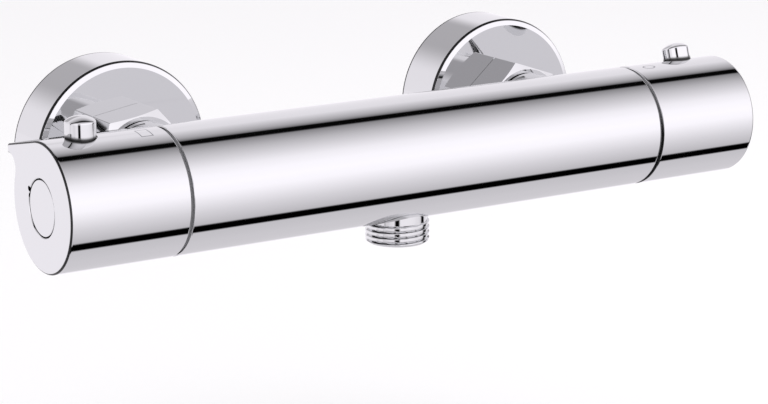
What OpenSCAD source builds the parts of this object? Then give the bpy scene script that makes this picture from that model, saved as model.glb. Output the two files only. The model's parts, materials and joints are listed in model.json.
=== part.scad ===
// Exposed thermostatic shower valve: a round bar between two wall unions,
// a flow handle on its left end, a temperature handle on its right end
// and a hose outlet underneath.
// Row frame: the origin is on the wall midway between the two supply stubs,
// +X runs along the bar to the right, +Y goes into the wall and +Z is up.

/* [Bar] */
// Outside diameter of the bar and of both handles
bar_d = 40.2; // [39:0.1:44]
// Length of the body beyond the boss of each inlet
body_margin = 0.1; // [0.1:0.1:8]
// Length of each handle, from its seam to its end face
handle_len = 40; // [36:0.5:40]
// Width of the groove between a handle and the body
seam_gap = 1; // [0.6:0.1:1.6]

/* [Handles] */
// Wall of the handle shell
handle_wall = 2.6; // [2:0.1:3]
// Thickness of the handle's end wall
end_wall = 3; // [2.5:0.1:3.6]
// Rounding of the end face's rim
rim_round = 0.9; // [0.4:0.1:1.2]
// Fall of the finger fin's upper side, in degrees
fin_fall = 12.6; // [8:0.2:18]
// Reach of the fin's tip behind the bar's axis
fin_reach = 23.6; // [22.5:0.1:25]
// Height of the fin's underside above the bar's axis, at its tip
fin_under = 12.4; // [11:0.1:13.5]
// Radius of the hollow under the fin
fin_hollow_r = 4; // [3.6:0.1:6]
// Diameter of the end cap
cap_d = 17.3; // [15:0.1:18]
// Depth of the end cap below the end face
cap_recess = 0.9; // [0.4:0.1:1.2]

/* [Stop buttons] */
// Diameter of a stop button
button_d = 9.5; // [8:0.1:10]
// Height of the flow handle's button above the bar, up to its dome
flow_button_rise = 4.8; // [3.5:0.1:6]
// Height of the temperature handle's button above the bar, up to its dome
warm_button_rise = 4.1; // [3.5:0.1:6]
// Height of a button's domed top
button_dome = 1.8; // [0.8:0.1:2.2]
// Travel of a button when it is pressed
button_travel = 2.5; // [1.5:0.1:2.5]
// Distance of a button from the handle's end face
button_in = 13.3; // [12.5:0.1:18.5]

/* [Wall unions] */
// Distance between the two inlets
inlet_pitch = 150; // [140:1:150]
// Distance from the wall to the bar's axis
axis_to_wall = 72.5; // [70:0.5:80]
// Height of the bar's axis above the supply stubs
union_offset = 7.5; // [5:0.5:8]
// Outside diameter of a wall flange
flange_d = 60.5; // [56:0.5:66]
// Depth of a wall flange
flange_depth = 19; // [18:0.5:21]
// Wall of a flange
flange_wall = 1.6; // [1.2:0.1:2]
// Width of the bevel round the flange's face
flange_bevel = 2.1; // [1:0.1:3]
// Wall of a union nut, from its thread to its flats
nut_wall = 1.8; // [1.6:0.05:2.8]
// Length of a union nut
nut_len = 14; // [13:0.5:15]
// Turn of the hot union nut, in degrees
hot_nut_turn = 9.5; // [0:0.5:60]
// Turn of the cold union nut, in degrees
cold_nut_turn = 41; // [0:0.5:60]
// Length of the supply stub inside the wall
stub_len = 13; // [10:0.5:16]

/* [Pipe threads] */
// Outside diameter of the half inch pipe thread
half_thread_d = 20.8; // [20.6:0.05:20.95]
// Outside diameter of the three quarter inch pipe thread
big_thread_d = 26.4; // [26.1:0.05:26.44]
// Pitch of both threads
thread_pitch = 1.814; // [1.7:0.001:1.9]
// Depth of both threads
thread_depth = 1.16; // [1:0.01:1.2]

/* [Outlet] */
// Place of the outlet along the bar
outlet_x = -4; // [-10:0.5:10]
// Distance from the bar's axis down to the outlet's end
outlet_drop = 27.2; // [26.5:0.1:32]
// Bore of the outlet
outlet_bore_d = 11.2; // [9:0.1:12]

/* [Turning] */
// Turn of the flow handle from closed to full flow, in degrees
flow_turn = 90; // [60:5:120]
// Turn of the temperature handle towards cold, in degrees
cold_turn = 150; // [120:5:170]
// Turn of the temperature handle towards hot, in degrees
hot_turn = 75; // [45:5:90]
// Teeth of its spline by which the temperature handle is set back from the top at rest
warm_teeth_back = 1; // [0:1:3]
// Pitch of the thread that moves the thermostat's pusher
pusher_pitch = 3; // [2:0.1:3.2]

/* [Waterways] */
// Diameter of the cartridge chamber on the thermostat side
warm_bore_d = 29; // [28:0.1:29.4]
// Diameter of the cartridge chamber on the flow side
flow_bore_d = 18.6; // [18:0.1:19]
// Diameter of the mixed water channel along the axis
mixed_bore_d = 10.4; // [8:0.1:11]
// Diameter of each hot water channel
hot_way_d = 6.8; // [5:0.1:7]
// Diameter of the inlet waterways
inlet_bore_d = 15.2; // [14.8:0.1:15.6]
// Opening travel of a check valve
check_travel = 2.5; // [1.5:0.1:3]

/* [Hidden] */
$fn = 64;
fine = 32;

// One overrun for all cuts, and the clearances that all fits share
overrun = 1;
fit_gap = 0.05;
slide_gap = 0.08;
face_gap = 0.1;
free_gap = 0.3;

// Colours
chrome = [0.80, 0.81, 0.83];
brass = [0.80, 0.66, 0.36];
rubber = [0.10, 0.10, 0.11];
ceramic = [0.93, 0.92, 0.88];
white_plastic = [0.90, 0.90, 0.88];
blue_plastic = [0.30, 0.45, 0.70];
steel = [0.62, 0.64, 0.67];
copper = [0.78, 0.48, 0.32];

// Bosses of the body that take the inlet tails
boss_wall = 3;
boss_gap = 0.8;
tail_r = half_thread_d / 2 - slide_gap;
tail_hole_r = tail_r + slide_gap;
boss_r = tail_hole_r + boss_wall;

// Bar and handles along the bar, measured from its middle
bar_r = bar_d / 2;
body_end = inlet_pitch / 2 + boss_r + body_margin;
seam_x = body_end + seam_gap / 2;
handle_start = seam_x + seam_gap / 2;
half_len = seam_x + handle_len;
handle_floor = half_len - end_wall;
handle_in_r = bar_r - handle_wall;
rim_steps = 4;

// Spigots of the body and the glide rings on them
spigot_len = 3;
glide_wall = 1.2;
glide_lip = 1.8;
spigot_end = body_end + spigot_len;
glide_r = handle_in_r - fit_gap;
spigot_r = glide_r - glide_wall - fit_gap;
glide_rim_r = bar_r - glide_wall;

// Hexagons and splined necks of the cartridges, outside the body
hex_len = 3.7;
flow_hex_af = 21;
gland_hex_af = 24;
neck_r = 8.8;
neck_len = 5.7;
neck_teeth = 24;
neck_tooth_deep = 0.35;
hex_start = spigot_end + face_gap;
hex_end = hex_start + hex_len;
neck_end = hex_end + neck_len;
throat_r = neck_r + fit_gap;

// Clips that hold the spindles in their necks
clip_t = 0.8;
clip_w = 2.6;
clip_groove_r = 3.6;
clip_mouth = 60;
clip_start = neck_end + face_gap;
clip_end = clip_start + clip_t;
clip_r = clip_groove_r + clip_w;

// Handle inserts: a splined hub, a web and a cup that lines the shell
hub_gap = 1.1;
hub_len = 9;
hub_r = 7.5;
web_t = 4;
insert_wall = 1.8;
insert_r = handle_in_r - fit_gap;
insert_in_r = insert_r - insert_wall;
insert_start = hex_end + face_gap;
insert_end = handle_floor - face_gap;
hub_start = clip_end + hub_gap;
web_start = hub_start + hub_len;
web_end = web_start + web_t;

// Spindles
shaft_r = 4.5;
shaft_bore_r = shaft_r + slide_gap;
spline_tip_r = 4.3;
spline_root_r = 3.75;
spline_teeth = 20;
warm_rest_turn = -warm_teeth_back * 360 / spline_teeth;
spindle_end = web_start - free_gap;
spindle_ring_count = 2;
spindle_ring_r = 0.6;
spindle_ring_pitch = 4;
spindle_groove_r = shaft_bore_r - 2 * spindle_ring_r - fit_gap;
spindle_groove_half = spindle_ring_r + face_gap;

// Screws that hold the handles on their spindles
screw_r = 2;
screw_len = 11.6;
screw_head_r = 3.5;
screw_head_len = 2.4;
screw_slot_w = 0.9;
screw_slot_len = 4.6;
screw_slot_deep = 1.2;
tap_spare = 1.4;
screw_hole_r = screw_r + slide_gap;
screw_head_start = web_end + face_gap;
screw_end = screw_head_start - screw_len;

// End caps and the collars that they plug into
collar_wall = 1.8;
collar_len = 2.4;
cap_t = 2;
cap_skirt = 1;
notch_w = 1.6;
notch_turn = 28;
cap_r = cap_d / 2;
cap_hole_r = cap_r + slide_gap;
cap_face = half_len - cap_recess;
collar_start = handle_floor - collar_len;

// Stop rings on the necks and the ribs of the inserts that they stop
stop_len = 4.2;
stop_hub_wall = 2.7;
stop_lug_gap = 0.4;
stop_spare_turn = 1.5;
rib_half = 15;
rib_place = 180;
stop_start = insert_start + face_gap;
stop_end = stop_start + stop_len;
stop_hub_r = neck_r + stop_hub_wall;
stop_lug_r = insert_in_r - stop_lug_gap;
rib_in_r = stop_hub_r + free_gap;

// Stop buttons, measured outward from the bar's axis
button_flange_w = 1.25;
button_flange_t = 1.5;
button_bevel = 0.35;
guide_wall = 0.7;
stem_r = 1.9;
stem_len = 3.2;
button_spring_r = 3;
button_wire_d = 0.6;
button_curls = 4;
button_spring_pressed = 3.6;
pedestal_t = 3.4;
button_r = button_d / 2;
button_hole_r = button_r + slide_gap;
button_flange_r = button_r + button_flange_w;
guide_r = button_flange_r + free_gap;
flange_top = sqrt(handle_in_r * handle_in_r - button_flange_r * button_flange_r) - free_gap;
flange_low = flange_top - button_flange_t;
button_floor = flange_low - button_travel - button_spring_pressed;
pedestal_low = button_floor - pedestal_t;

// Unions on the wall side, measured from the wall towards the user
half_r = half_thread_d / 2;
big_r = big_thread_d / 2;
big_root_r = big_r - thread_depth;
thread_crest = 0.35;
thread_lead = 0.5;
flange_r = flange_d / 2;
flange_hub_len = 9;
flange_hub_wall = 2.2;
flange_hub_start = flange_depth - flange_hub_len;
union_proud = 6;
union_bore_r = 8;
union_stub_bore_r = 6.5;
union_front_wall = 1;
union_shank_wall = 0.8;
union_shank_start = 2;
union_shank_end = 9;
union_shank_r = half_r + union_shank_wall;
union_cross = 5;
union_face = flange_depth + union_proud;

// Filter washers between union and tail
washer_t = 2;
mesh_t = 0.6;
mesh_wire = 0.6;
mesh_pitch = 2.4;
mesh_bars = 3;
mesh_r = union_bore_r - slide_gap;

// Inlet tails and union nuts
tail_collar_t = 3;
tail_step = 1.8;
tail_key_af = 12;
tail_key_len = 4;
tail_collar_r = big_root_r - slide_gap;
tail_face = union_face + washer_t;
tail_collar_end = tail_face + tail_collar_t;
nut_face_in = 0.4;
nut_back_bevel = 0.5;
nut_start = flange_depth + face_gap;
nut_end = nut_start + nut_len;
nut_lip_start = tail_collar_end + face_gap;
nut_af = big_thread_d + 2 * nut_wall;
nut_r = nut_af / 2 / cos(30);
nut_face_r = nut_af / 2 - nut_face_in;
nut_turn_r = nut_r + overrun;
nut_bevel = (nut_turn_r - nut_face_r) * tan(30);

// Check valves inside the inlet tails
check_in = 1;
check_wall = 1.6;
seat_t = 1.5;
seat_hole_r = 4.6;
poppet_rim = 0.8;
poppet_t = 1.2;
poppet_stem_r = 1;
spider_t = 1.5;
spider_hub_r = 3.2;
spider_arms = 3;
spider_arm_w = 1.4;
check_spring_r = 2.7;
check_wire_d = 0.5;
check_curls = 5;
check_spring_pressed = 6.2;
check_r = inlet_bore_d / 2;
poppet_r = seat_hole_r + poppet_rim;
check_start = tail_face + check_in;
poppet_start = check_start + seat_t + face_gap;
poppet_end = poppet_start + poppet_t;
spider_start = poppet_end + check_travel + check_spring_pressed;
check_end = spider_start + spider_t;
tail_end = check_end + tail_step + tail_key_len;

// Ends of the bosses, measured from the wall
boss_end = nut_end + boss_gap;
boss_floor = tail_end + face_gap;

// Flow cartridge, from the bottom of its chamber outward
flow_bore_len = 35;
flow_thread_len = 8.7;
flow_house_wall = 1.05;
seal_t = 2.5;
seal_in_r = 6.4;
disc_t = 3;
disc_port_in = 1.8;
disc_port_out = 6.2;
disc_port_turn = 80;
key_w = 3;
key_len = 10;
key_deep = 1.5;
driver_r = 7;
driver_t = 3.8;
flow_windows = 4;
flow_window_w = 5;
flow_seal_step = 6;
flow_seal_r = 0.85;
groove_slack = 0.05;
flow_bore_r = flow_bore_d / 2;
flow_house_r = flow_bore_r - slide_gap;
flow_house_in_r = flow_house_r - flow_house_wall;
flow_floor = body_end - flow_bore_len;
flow_thread_start = body_end - flow_thread_len;
flow_house_start = flow_floor + face_gap;
fixed_disc_start = flow_house_start + seal_t;
moving_disc_start = fixed_disc_start + disc_t + face_gap;
moving_disc_end = moving_disc_start + disc_t;
driver_end = moving_disc_end + driver_t;
flow_room_end = driver_end + free_gap;
flow_seal_x = flow_room_end + flow_seal_step;
flow_rings_from = flow_thread_start;
flow_thread_r = half_r - fit_gap;
flow_thread_bore_r = flow_thread_r + slide_gap;

// Thermostat cartridge
warm_nose_len = 9.5;
warm_nose_r = 9;
nose_bore_r = 6.2;
nose_ring_in = 4;
nose_ring_r = 0.8;
hot_room_len = 7;
house_wall = 1;
mixing_len = 7.5;
house_in_r = 10.2;
waist_deep = 2;
hot_seat_t = 1.5;
hot_seat_r = 9.2;
cold_seat_t = 2.5;
cold_seat_r = 8.7;
seat_span = 17;
window_len = 3;
window_w = 4;
windows = 6;
window_rim = 1;
land_len = 5;
warm_ring_r = 0.95;
spool_ring_r = 0.6;
guide_rib_w = 3;
guide_rib_t = 1;
bonnet_len = 10.5;
gland_thread_len = 4;
thrust_t = 2.825;
seat_margin = 0.35;
pusher_flange_t = 2;
warm_bore_r = warm_bore_d / 2;
house_r = warm_bore_r - slide_gap;
house_waist_r = house_r - waist_deep;
house_nose_r = warm_nose_r - slide_gap;
cold_shift = cold_turn * pusher_pitch / 360;
hot_shift = hot_turn * pusher_pitch / 360;

// Its stack along the bar, from the body's end inward
house_end = body_end - gland_thread_len;
bonnet_start = house_end - bonnet_len;
thrust_end = bonnet_start - face_gap;
thrust_start = thrust_end - thrust_t;
pusher_end = thrust_start - hot_shift - seat_margin;
pusher_flange_start = pusher_end - pusher_flange_t;
cold_seat_end = pusher_flange_start - cold_shift - seat_margin;
cold_seat_x = cold_seat_end - cold_seat_t;
hot_seat_face = cold_seat_x - seat_span;
hot_seat_x = hot_seat_face - hot_seat_t;
house_inside = hot_seat_x - mixing_len;
house_floor = house_inside - house_wall;
warm_floor = house_floor - hot_room_len;
warm_nose_floor = warm_floor - warm_nose_len;
nose_ring_x = warm_nose_floor + nose_ring_in;
hot_zone_end = hot_seat_face + window_len + window_rim;
cold_zone_start = hot_zone_end + land_len;
land_ring_x = hot_zone_end + land_len / 2;
cold_zone_end = house_end - land_len;
end_ring_x = cold_zone_end + land_len / 2;
bonnet_r = house_in_r - fit_gap;
warm_rings_from = house_end - spindle_ring_pitch;

// Strainers round the housing's two waists
strainer_t = 0.5;
strainer_rim = 1;
strainer_slots = 16;
strainer_slot_w = 3;
strainer_gap = 0.6;
strainer_r = warm_bore_r - strainer_gap;

// Moving pieces of the thermostat
spool_wall = 1.5;
spool_web_in = 2.4;
spool_web_t = 2;
spool_arms = 3;
spool_arm_w = 3;
element_bulb_r = 4.2;
element_collar_r = 5.2;
element_flange_r = 6.2;
element_flange_t = 1.2;
piston_r = 1.5;
piston_out = 2.3;
cup_t = 1.5;
cup_dimple = 0.8;
cup_r = 5.6;
pusher_wall = 1.2;
pusher_lip = 0.8;
pusher_lip_w = 0.7;
adjust_r = 3.6;
adjust_deep = 0.5;
adjust_proud = 3.5;
thrust_r = 6.5;
overload_r = 4.95;
overload_wire_d = 1.1;
overload_curls = 2.5;
overload_len = 6.5;
return_r = 7.3;
return_wire_d = 1;
return_curls = 4;
spool_r = house_in_r - slide_gap;
spool_start = hot_seat_face + cold_shift + seat_margin;
spool_end = cold_seat_x - hot_shift - seat_margin;
spool_web_start = spool_start + spool_web_in;
spool_web_end = spool_web_start + spool_web_t;
element_end = spool_web_end + element_flange_t;
cup_start = element_end + piston_out;
cup_end = cup_start + cup_t;
pusher_in_r = cup_r + free_gap;
pusher_r = pusher_in_r + pusher_wall;
pusher_start = cup_start - face_gap - pusher_lip;
pusher_floor = cup_end + overload_len;
pusher_flange_r = house_in_r - free_gap;
adjust_start = pusher_floor - adjust_proud;

// Waterways of the body
mixed_r = mixed_bore_d / 2;
inlet_bore_r = inlet_bore_d / 2;
hot_way_r = hot_way_d / 2;
hot_way_turn = 30;
hot_way_open = 12;
flow_ring_deep = 1;
flow_ring_wall = 0.6;
hot_floor_wall = 1.5;
flow_ring_r = flow_bore_r + flow_ring_deep;
flow_ring_start = moving_disc_start - face_gap;
flow_ring_end = flow_room_end;
hot_way_out = flow_ring_r + flow_ring_wall + hot_way_r;
hot_way_end = warm_floor + hot_way_open;
inlet_floor = axis_to_wall - flow_thread_bore_r - hot_floor_wall;

// Outlet below the bar, measured down from the bar's axis
outlet_way_r = 3.2;
outlet_way_cut = 1.3;
outlet_way_in = 1;
outlet_seat_wall = 0.6;
outlet_room_wall = 2.8;
outlet_neck_wall = 1.8;
outlet_neck_len = 3;
outlet_washer_t = 0.8;
outlet_proud = 0.2;
outlet_relief = 0.8;
outlet_r = half_r;
outlet_bore_r = outlet_bore_d / 2;
outlet_neck_r = outlet_bore_r + outlet_neck_wall;
outlet_neck_hole_r = outlet_neck_r + slide_gap;
outlet_way_drop = flow_ring_r - outlet_way_cut + outlet_way_r;
outlet_seat = outlet_way_drop + outlet_way_r + outlet_seat_wall;
outlet_shoulder = outlet_seat + outlet_washer_t;
outlet_room_top = mixed_r + outlet_room_wall;
outlet_neck_top = outlet_seat - outlet_neck_len;
outlet_shank_r = outlet_r - outlet_relief;
outlet_spot_r = outlet_shank_r + fit_gap;
outlet_thread_start = bar_r + outlet_proud;

// Places

// Puts the bar's own frame, with its origin on the bar's axis, into the row frame
module on_bar() translate([0, -axis_to_wall, union_offset]) children();

// Draws a piece of the right end in its place or, mirrored, on the left end
module on_right_end() on_bar() children();
module on_left_end() on_bar() mirror([1, 0, 0]) children();

// Draws a piece of the temperature handle, turned as the handle stands at rest
module on_warm_handle() on_right_end() rotate([warm_rest_turn, 0, 0]) children();

// Extrudes an outline drawn in (Y, Z) along the bar
module along_bar(from, to)
    translate([from, 0, 0]) rotate([90, 0, 90]) linear_extrude(height = to - from) children();

// Turns a profile of (radius, place along the bar) about the bar's axis
module about_bar() rotate([0, 90, 0]) rotate_extrude() children();

// Extrudes an outline drawn in (X, Z) away from the wall
module off_wall(from, to)
    translate([0, -from, 0]) rotate([90, 0, 0]) linear_extrude(height = to - from) children();

// Turns a profile of (radius, distance from the wall) about a supply's axis
module about_supply() rotate([90, 0, 0]) rotate_extrude() children();

// Extrudes an outline downward, measured below the bar's axis
module down(from, to) translate([0, 0, -to]) linear_extrude(height = to - from) children();

// Places a piece on the hot (-1) or cold (1) inlet, at the bar's height
module at_inlet(side) translate([side * inlet_pitch / 2, 0, union_offset]) children();

// Turns a piece so that its Z leads from the bar's axis out through a stop button
module at_button() translate([half_len - button_in, 0, 0]) children();

// Outlines

module ring_2d(outer, inner) {
    difference() {
        circle(r = outer);
        circle(r = inner);
    }
}

// Sector of a ring, half degrees to each side of the direction at turn
module sector_2d(outer, inner, turn, half) {
    steps = 8;
    intersection() {
        ring_2d(outer, inner);
        polygon(concat([[0, 0]], [
            for (i = [0:steps])
                let (a = turn + half * (2 * i / steps - 1)) 2 * outer * [cos(a), sin(a)]
        ]));
    }
}

// Splined outline, in one polygon
module spline_2d(tip, root, teeth) {
    tooth_shares = [[root, 0], [tip, 0.25], [tip, 0.5], [root, 0.75]];
    polygon([for (i = [0:teeth - 1]) for (p = tooth_shares)
        let (a = (i + p[1]) * 360 / teeth) p[0] * [cos(a), sin(a)]]);
}

// Regular hexagon by its width across the flats
module hex_2d(flats) circle(r = flats / 2 / cos(30), $fn = 6);

// Outline of a handle in (Y, Z), drawn in by inset: a circle with a fin behind its top,
// whose upper side is tangent to the circle and whose underside is hollowed
module handle_2d(inset) {
    r = bar_r - inset;
    hollow = fin_hollow_r + inset;
    touch = r * [sin(fin_fall), cos(fin_fall)];
    low = [fin_reach - inset, fin_under + inset];
    high = [low.x, touch.y - (low.x - touch.x) * tan(fin_fall)];
    reach = norm(low);
    away = r + hollow;
    spread = acos((reach * reach + away * away - hollow * hollow) / (2 * away * reach));
    turn = atan2(low.y, low.x) - spread;
    centre = away * [cos(turn), sin(turn)];
    circle(r = r);
    difference() {
        polygon([[0, 0], touch, high, low, centre]);
        translate(centre) circle(r = hollow);
    }
}

// Half profile of a thread drawn as rings, (radius, place), with a bevelled lead at its end
module thread_2d(crest, root, from, to, lead) {
    turns = floor((to - lead - from - thread_crest) / thread_pitch);
    dip = thread_pitch / 2;
    turn_points = [
        [crest, 0], [crest, thread_crest],
        [root, dip], [root, dip + thread_crest]
    ];
    polygon(concat(
        [[0, from]],
        [for (i = [0:1:turns - 1]) for (p = turn_points) [p.x, from + i * thread_pitch + p.y]],
        [[crest, from + turns * thread_pitch], [crest, to - lead], [crest - lead, to], [0, to]]
    ));
}

// Springs

rings_per_curl = 8;
wire_sides = 6;

// Middle line of a spring's wire, wound about Z
function coil_line(r, wire, length, curls) = [
    for (i = [0:curls * rings_per_curl])
        let (a = i * 360 / rings_per_curl)
        [r * cos(a), r * sin(a), wire / 2 + (length - wire) * i / (curls * rings_per_curl)]
];

// Least gap between the turns of a spring's wire
function coil_gap(line, wire) = min([
    for (i = [0:len(line) - 1]) for (j = [i + rings_per_curl - 1:1:len(line) - 1])
        norm(line[i] - line[j]) - wire
]);

// One unbroken wire wound into a spring about Z
module coil_spring(r, wire, length, curls) {
    line = coil_line(r, wire, length, curls);
    last = len(line) - 1;
    climb = atan((length - wire) / curls / (2 * PI * r));
    points = [for (i = [0:last]) for (k = [0:wire_sides - 1])
        let (
            a = i * 360 / rings_per_curl,
            b = k * 360 / wire_sides,
            out = [cos(a), sin(a), 0],
            up = [sin(a) * sin(climb), -cos(a) * sin(climb), cos(climb)]
        )
        line[i] + wire / 2 * (cos(b) * out + sin(b) * up)];
    side = [for (i = [0:last - 1]) for (k = [0:wire_sides - 1])
        let (a = i * wire_sides + k, b = i * wire_sides + (k + 1) % wire_sides)
        each [[a, b, b + wire_sides], [a, b + wire_sides, a + wire_sides]]];
    ends = [for (k = [1:wire_sides - 2])
        each [[0, k + 1, k], [last * wire_sides, last * wire_sides + k, last * wire_sides + k + 1]]];
    polyhedron(points = points, faces = concat(side, ends));
}

// Valve body and outlet

module valve_body() {
    color(chrome) on_bar() difference() {
        union() {
            along_bar(-body_end, body_end) circle(r = bar_r);
            along_bar(-spigot_end, spigot_end) circle(r = spigot_r);
            for (side = [-1, 1]) translate([side * inlet_pitch / 2, axis_to_wall, 0])
                off_wall(boss_end, axis_to_wall) circle(r = boss_r);
        }
        warm_chamber();
        mirror([1, 0, 0]) flow_chamber();
        along_bar(-flow_floor - overrun, warm_nose_floor + overrun) circle(r = mixed_r);
        // Hot water channels from the left inlet to the thermostat
        for (turn = [-hot_way_turn, hot_way_turn])
            along_bar(-inlet_pitch / 2, hot_way_end)
                rotate(turn) translate([hot_way_out, 0]) circle(r = hot_way_r);
        // Channel from the flow chamber to the outlet
        translate([0, 0, -outlet_way_drop])
            along_bar(-flow_ring_end + outlet_way_in, outlet_x) circle(r = outlet_way_r);
        translate([outlet_x, 0, 0]) {
            down(outlet_seat, bar_r + overrun) circle(r = outlet_spot_r);
            down(outlet_room_top, outlet_seat + overrun) circle(r = outlet_neck_hole_r);
        }
        // Inlets from behind
        for (side = [-1, 1]) translate([side * inlet_pitch / 2, axis_to_wall, 0]) {
            off_wall(boss_end - overrun, boss_floor) circle(r = tail_hole_r);
            off_wall(boss_floor - overrun, inlet_floor) circle(r = inlet_bore_r);
        }
    }
}

// Chamber that takes the thermostat cartridge
module warm_chamber() {
    along_bar(warm_floor, spigot_end + overrun) circle(r = warm_bore_r);
    along_bar(warm_nose_floor, warm_floor + overrun) circle(r = warm_nose_r);
}

// Chamber that takes the flow cartridge
module flow_chamber() {
    along_bar(flow_floor, spigot_end + overrun) circle(r = flow_bore_r);
    along_bar(flow_thread_start, spigot_end + overrun) circle(r = flow_thread_bore_r);
    along_bar(flow_ring_start, flow_ring_end) circle(r = flow_ring_r);
}

module outlet_nipple() {
    color(chrome) on_bar() translate([outlet_x, 0, 0]) difference() {
        union() {
            down(outlet_shoulder, outlet_thread_start + overrun) circle(r = outlet_r - thread_depth);
            down(outlet_shoulder, outlet_thread_start) circle(r = outlet_shank_r);
            rotate([180, 0, 0]) rotate_extrude()
                thread_2d(outlet_r, outlet_r - thread_depth, outlet_thread_start, outlet_drop, thread_lead);
            down(outlet_neck_top, outlet_drop - overrun) circle(r = outlet_neck_r);
        }
        down(outlet_neck_top - overrun, outlet_drop + overrun) circle(r = outlet_bore_r);
    }
}

module outlet_washer() {
    color(rubber) on_bar() translate([outlet_x, 0, 0])
        down(outlet_seat, outlet_shoulder) ring_2d(outlet_shank_r, outlet_neck_hole_r);
}

// Wall unions

module wall_flange(side) {
    hole = big_r + slide_gap;
    hub = hole + flange_hub_wall;
    inside = flange_r - flange_wall;
    plate = flange_depth - flange_wall;
    bevel_shares = [[0, 0.7], [0.25, 0.25], [1, 0]];
    color(chrome) at_inlet(side) about_supply() polygon(concat(
        [[hole, flange_hub_start], [hub, flange_hub_start], [hub, plate], [flange_r - flange_bevel, plate],
         [inside, flange_depth - flange_bevel], [inside, 0], [flange_r, 0]],
        [for (s = bevel_shares) [flange_r - s[0] * flange_bevel, flange_depth - s[1] * flange_bevel]],
        [[hole, flange_depth]]
    ));
}

module s_union(side) {
    color(brass) translate([side * inlet_pitch / 2, 0, 0]) difference() {
        union() {
            translate([0, 0, union_offset]) {
                about_supply() thread_2d(big_r, big_root_r, flange_hub_start, union_face, thread_lead);
                // Ends inside the first ring of the thread
                off_wall(union_cross - union_front_wall, flange_hub_start + thread_crest / 2)
                    circle(r = big_r);
            }
            off_wall(union_shank_start, union_shank_end) circle(r = union_shank_r);
            rotate([180, 0, 0]) about_supply()
                thread_2d(half_r, half_r - thread_depth, -union_shank_start, stub_len, thread_lead);
        }
        translate([0, 0, union_offset])
            off_wall(union_cross, union_face + overrun) circle(r = union_bore_r);
        off_wall(-stub_len - overrun, union_shank_end) circle(r = union_stub_bore_r);
    }
}

module union_nut(side, turn) {
    color(chrome) at_inlet(side) difference() {
        intersection() {
            off_wall(nut_start, nut_end) rotate(turn) hex_2d(nut_af);
            about_supply() polygon([
                [0, nut_start],
                [nut_r - nut_back_bevel, nut_start],
                [nut_turn_r, nut_start + nut_back_bevel + overrun],
                [nut_turn_r, nut_end - nut_bevel],
                [nut_face_r, nut_end],
                [0, nut_end]
            ]);
        }
        off_wall(nut_start - overrun, nut_lip_start) circle(r = big_r + slide_gap);
        off_wall(nut_lip_start - overrun, nut_end + overrun) circle(r = tail_hole_r);
    }
}

module filter_washer(side) {
    middle = (union_face + tail_face) / 2;
    color(rubber) at_inlet(side) {
        off_wall(union_face + face_gap, tail_face) ring_2d(tail_collar_r, mesh_r - mesh_wire);
        off_wall(middle - mesh_t / 2, middle + mesh_t / 2) intersection() {
            circle(r = mesh_r);
            for (turn = [0, 90]) rotate(turn)
                for (i = [-mesh_bars:mesh_bars]) translate([i * mesh_pitch, 0])
                    square([mesh_wire, 2 * mesh_r], center = true);
        }
    }
}

module inlet_tail(side) {
    color(brass) at_inlet(side) difference() {
        union() {
            off_wall(tail_face, tail_collar_end) circle(r = tail_collar_r);
            off_wall(tail_face, tail_end) circle(r = tail_r);
        }
        off_wall(tail_face - overrun, tail_end - tail_key_len) circle(r = check_r + fit_gap);
        off_wall(tail_face, tail_end + overrun) hex_2d(tail_key_af);
    }
}

module check_housing(side) {
    color(white_plastic) at_inlet(side) {
        off_wall(check_start, check_end) ring_2d(check_r, check_r - check_wall);
        off_wall(check_start, check_start + seat_t) ring_2d(check_r, seat_hole_r);
        off_wall(spider_start, check_end) difference() {
            union() {
                circle(r = spider_hub_r);
                for (i = [1:spider_arms]) rotate(i * 360 / spider_arms)
                    translate([0, -spider_arm_w / 2]) square([check_r - check_wall / 2, spider_arm_w]);
            }
            circle(r = poppet_stem_r + slide_gap);
        }
    }
}

module check_poppet(side) {
    color(blue_plastic) at_inlet(side) {
        off_wall(poppet_start, poppet_end) circle(r = poppet_r);
        off_wall(poppet_start, check_end) circle(r = poppet_stem_r);
    }
}

module check_spring(side) {
    color(steel) at_inlet(side) translate([0, -poppet_end - fit_gap, 0]) rotate([90, 0, 0])
        coil_spring(check_spring_r, check_wire_d, spider_start - poppet_end - 2 * fit_gap, check_curls);
}

// Pieces that both spindles share, drawn for the right end

// The end of a spindle: a shaft with sealing grooves, a clip groove, splines and a tapped hole
module spindle_shaft(from, rings_from) {
    difference() {
        union() {
            along_bar(from, neck_end) circle(r = shaft_r);
            along_bar(neck_end - overrun, spindle_end) spline_2d(spline_tip_r, spline_root_r, spline_teeth);
        }
        along_bar(neck_end, clip_end + face_gap) ring_2d(shaft_r + overrun, clip_groove_r);
        along_bar(screw_end - tap_spare, spindle_end + overrun) circle(r = screw_hole_r);
        for (i = [0:spindle_ring_count - 1]) {
            x = rings_from + i * spindle_ring_pitch;
            along_bar(x - spindle_groove_half, x + spindle_groove_half)
                ring_2d(shaft_r + overrun, spindle_groove_r);
        }
    }
}

// A sealing ring that stands in a bore of radius r, and the groove that holds it
module sealing_ring(x, r, ring_r)
    about_bar() translate([r - ring_r - groove_slack / 2, x]) circle(r = ring_r, $fn = fine);
module ring_groove(x, r, ring_r)
    along_bar(x - ring_r - groove_slack, x + ring_r + groove_slack)
        ring_2d(r + overrun, r - 2 * ring_r - groove_slack);

module spindle_rings(rings_from) {
    color(rubber) for (i = [0:spindle_ring_count - 1])
        sealing_ring(rings_from + i * spindle_ring_pitch, shaft_bore_r, spindle_ring_r);
}

module spindle_clip() {
    color(steel) along_bar(clip_start, clip_end) difference() {
        ring_2d(clip_r, clip_groove_r + fit_gap);
        for (turn = [-clip_mouth / 2, clip_mouth / 2 - 90]) rotate(turn) square(2 * clip_r);
    }
}

// Splined outside of a neck, which carries the stop ring
module neck_spline() along_bar(hex_end - overrun, neck_end)
    spline_2d(neck_r, neck_r - neck_tooth_deep, neck_teeth);

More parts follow.
